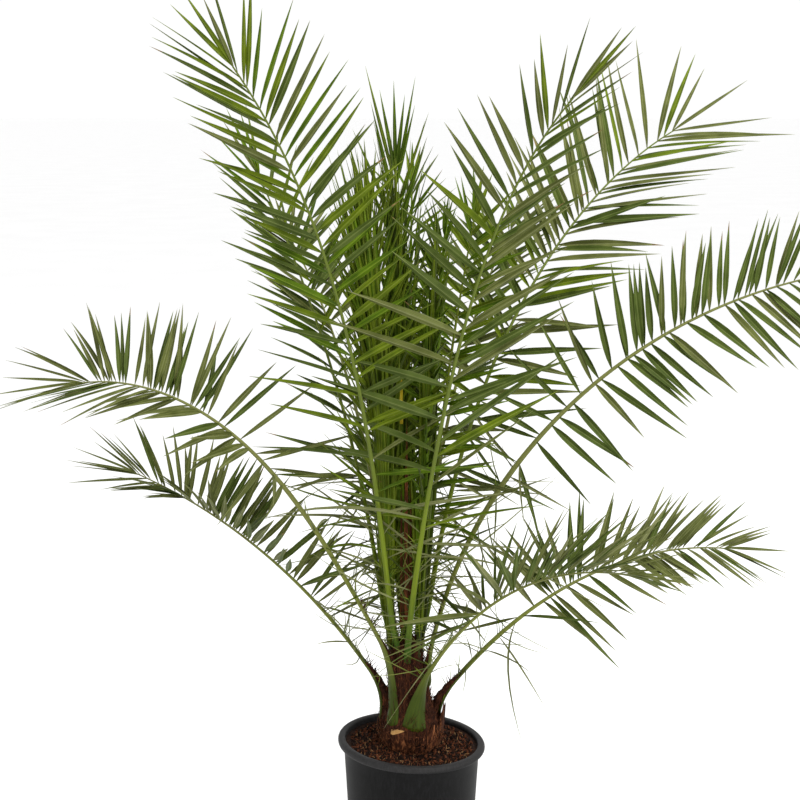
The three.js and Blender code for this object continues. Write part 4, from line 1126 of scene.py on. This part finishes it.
def stalkFibres(rule, names):
    rng, count = np.random.default_rng(rule["seed"]), rule["perStalk"]
    parts = []
    for name in names:
        frond = fronds[name]
        share = rng.uniform(*rule["share"], count) * frond["bare"]
        sign = rng.choice([-1.0, 1.0], count)
        angle = np.radians(rng.uniform(*rule["fan"], count))
        lift = np.radians(rng.uniform(*rule["lift"], count))
        foot, aim, _, _, out = onRib(frond, lines[name], share, sign, angle, lift)
        length = rng.uniform(*rule["length"], count)
        bend = scaled(rng.normal(0, rule["curl"], (count, 3)), length)
        width = rng.uniform(*rule["width"], count)
        parts.append(blades(foot, aim, out, length, width, np.zeros(count, int), bend))
    return joined(parts)


def innerStrips(rule):
    azimuth, low, length, width, kind = np.array(rule["each"]).T
    outward, _ = outAndAround(np.radians(azimuth))
    spear = lines["spear"][0]
    foot = pointsAt(low, spear[:, 2], spear) + outward * rule["radius"]
    return blades(foot, upward(np.ones(len(low))), outward, length, width, kind.astype(int),
                  outward * rule["bend"])


openStalks = [name for name in fronds if name != "spear"]
fibreShape = makeObject("fibreShape", fibreMesh())
for label, leaves, materials, slotName in (
        ("stemFibres", stemFibres(fibres["stem"]), (stemFibre, rustFibre), "trunk"),
        ("footStrands", footStrands(fibres["foot"]), (oldLeafBase, rustFibre), "old_leaf_base"),
        ("innerStrips", innerStrips(strips), (rustFibre, yellowLeaf), "leaf_young"),
        ("sheathFibres", stalkFibres(fibres["sheath"], sheath["on"]), (stemFibre,), "trunk"),
        ("stalkSpines", stalkFibres(fibres["spines"], openStalks), (stalkGreen,), "leaf_arching"),
        ("stalkThreads", stalkFibres(fibres["threads"], openStalks), (stalkPale,), "leaf_arching")):
    for index, material in enumerate(materials):
        piece = growLeaflets(f"{label}_{index + 1}", leaves, leaves["tint"] == index, fibreShape, material)
        piece.data.uv_layers.active.name = "pieceUv"
        shadeSmooth(piece.data, 80)
        seat(piece, slotName)
bpy.data.objects.remove(fibreShape)
print("fibres strewn")


# Camera at the photograph's place, and a plain pale studio

camera = dict(x=-0.0235, distance=3.1, height=1.563, down=10.4, focal=1604, image=800, sensor=36)
eye = bpy.data.cameras.new("camera")
eye.sensor_width = camera["sensor"]
eye.lens = camera["focal"] / camera["image"] * camera["sensor"]
eyeObject = makeObject("camera", eye)
eyeObject.location = (camera["x"], -camera["distance"], camera["height"])
eyeObject.rotation_euler = (math.radians(90 - camera["down"]), 0, 0)
bpy.context.scene.camera = eyeObject

studio = dict(floorSize=400, floorDrop=0.0005, sky=1.02, lookAt=(0, 0, 0.9), lamps={
    "key": dict(at=(2.6, -2.4, 3.6), size=2.4, power=120),
    "top": dict(at=(0.4, -0.4, 4.6), size=2.2, power=80),
})


# Studio floor: matt white painted board, so it only takes soft shade
def paleFloor():
    material, add, finish = newMaterial("mattWhiteFloor")
    where = add("TexCoord")
    cloudy = add("TexNoise", {"Scale": 1.5, "Detail": 2}, {"Vector": where.outputs["Object"]})
    tone = add("ValToRGB", {"stops": [(0.3, "#fafafa"), (0.7, "#fdfdfd")]}, {"Fac": cloudy})
    finish({"Roughness": 0.95}, {"Base Color": tone})
    return material


half = studio["floorSize"] / 2
floorMesh = makeMesh("floor", [(-half, -half, 0), (half, -half, 0), (half, half, 0), (-half, half, 0)],
                     [(0, 1, 2, 3)])
floorMesh.materials.append(paleFloor())
floorObject = makeObject("studioFloor", floorMesh)
floorObject.location.z = -studio["floorDrop"]

for name, lamp in studio["lamps"].items():
    light = bpy.data.lights.new(name, "AREA")
    light.shape = "DISK"
    light.size = lamp["size"]
    light.energy = lamp["power"]
    lightObject = makeObject(name, light)
    lightObject.location = lamp["at"]
    toPlant = Vector(studio["lookAt"]) - Vector(lamp["at"])
    lightObject.rotation_euler = toPlant.to_track_quat("-Z", "Y").to_euler()

world = bpy.data.worlds.new("softWhite")
world.use_nodes = True
setNode(world.node_tree, world.node_tree.nodes["Background"],
        {"Color": (1, 1, 1, 1), "Strength": studio["sky"]}, None)
bpy.context.scene.world = world
bpy.context.scene.view_settings.view_transform = "Standard"
print("studio lit")
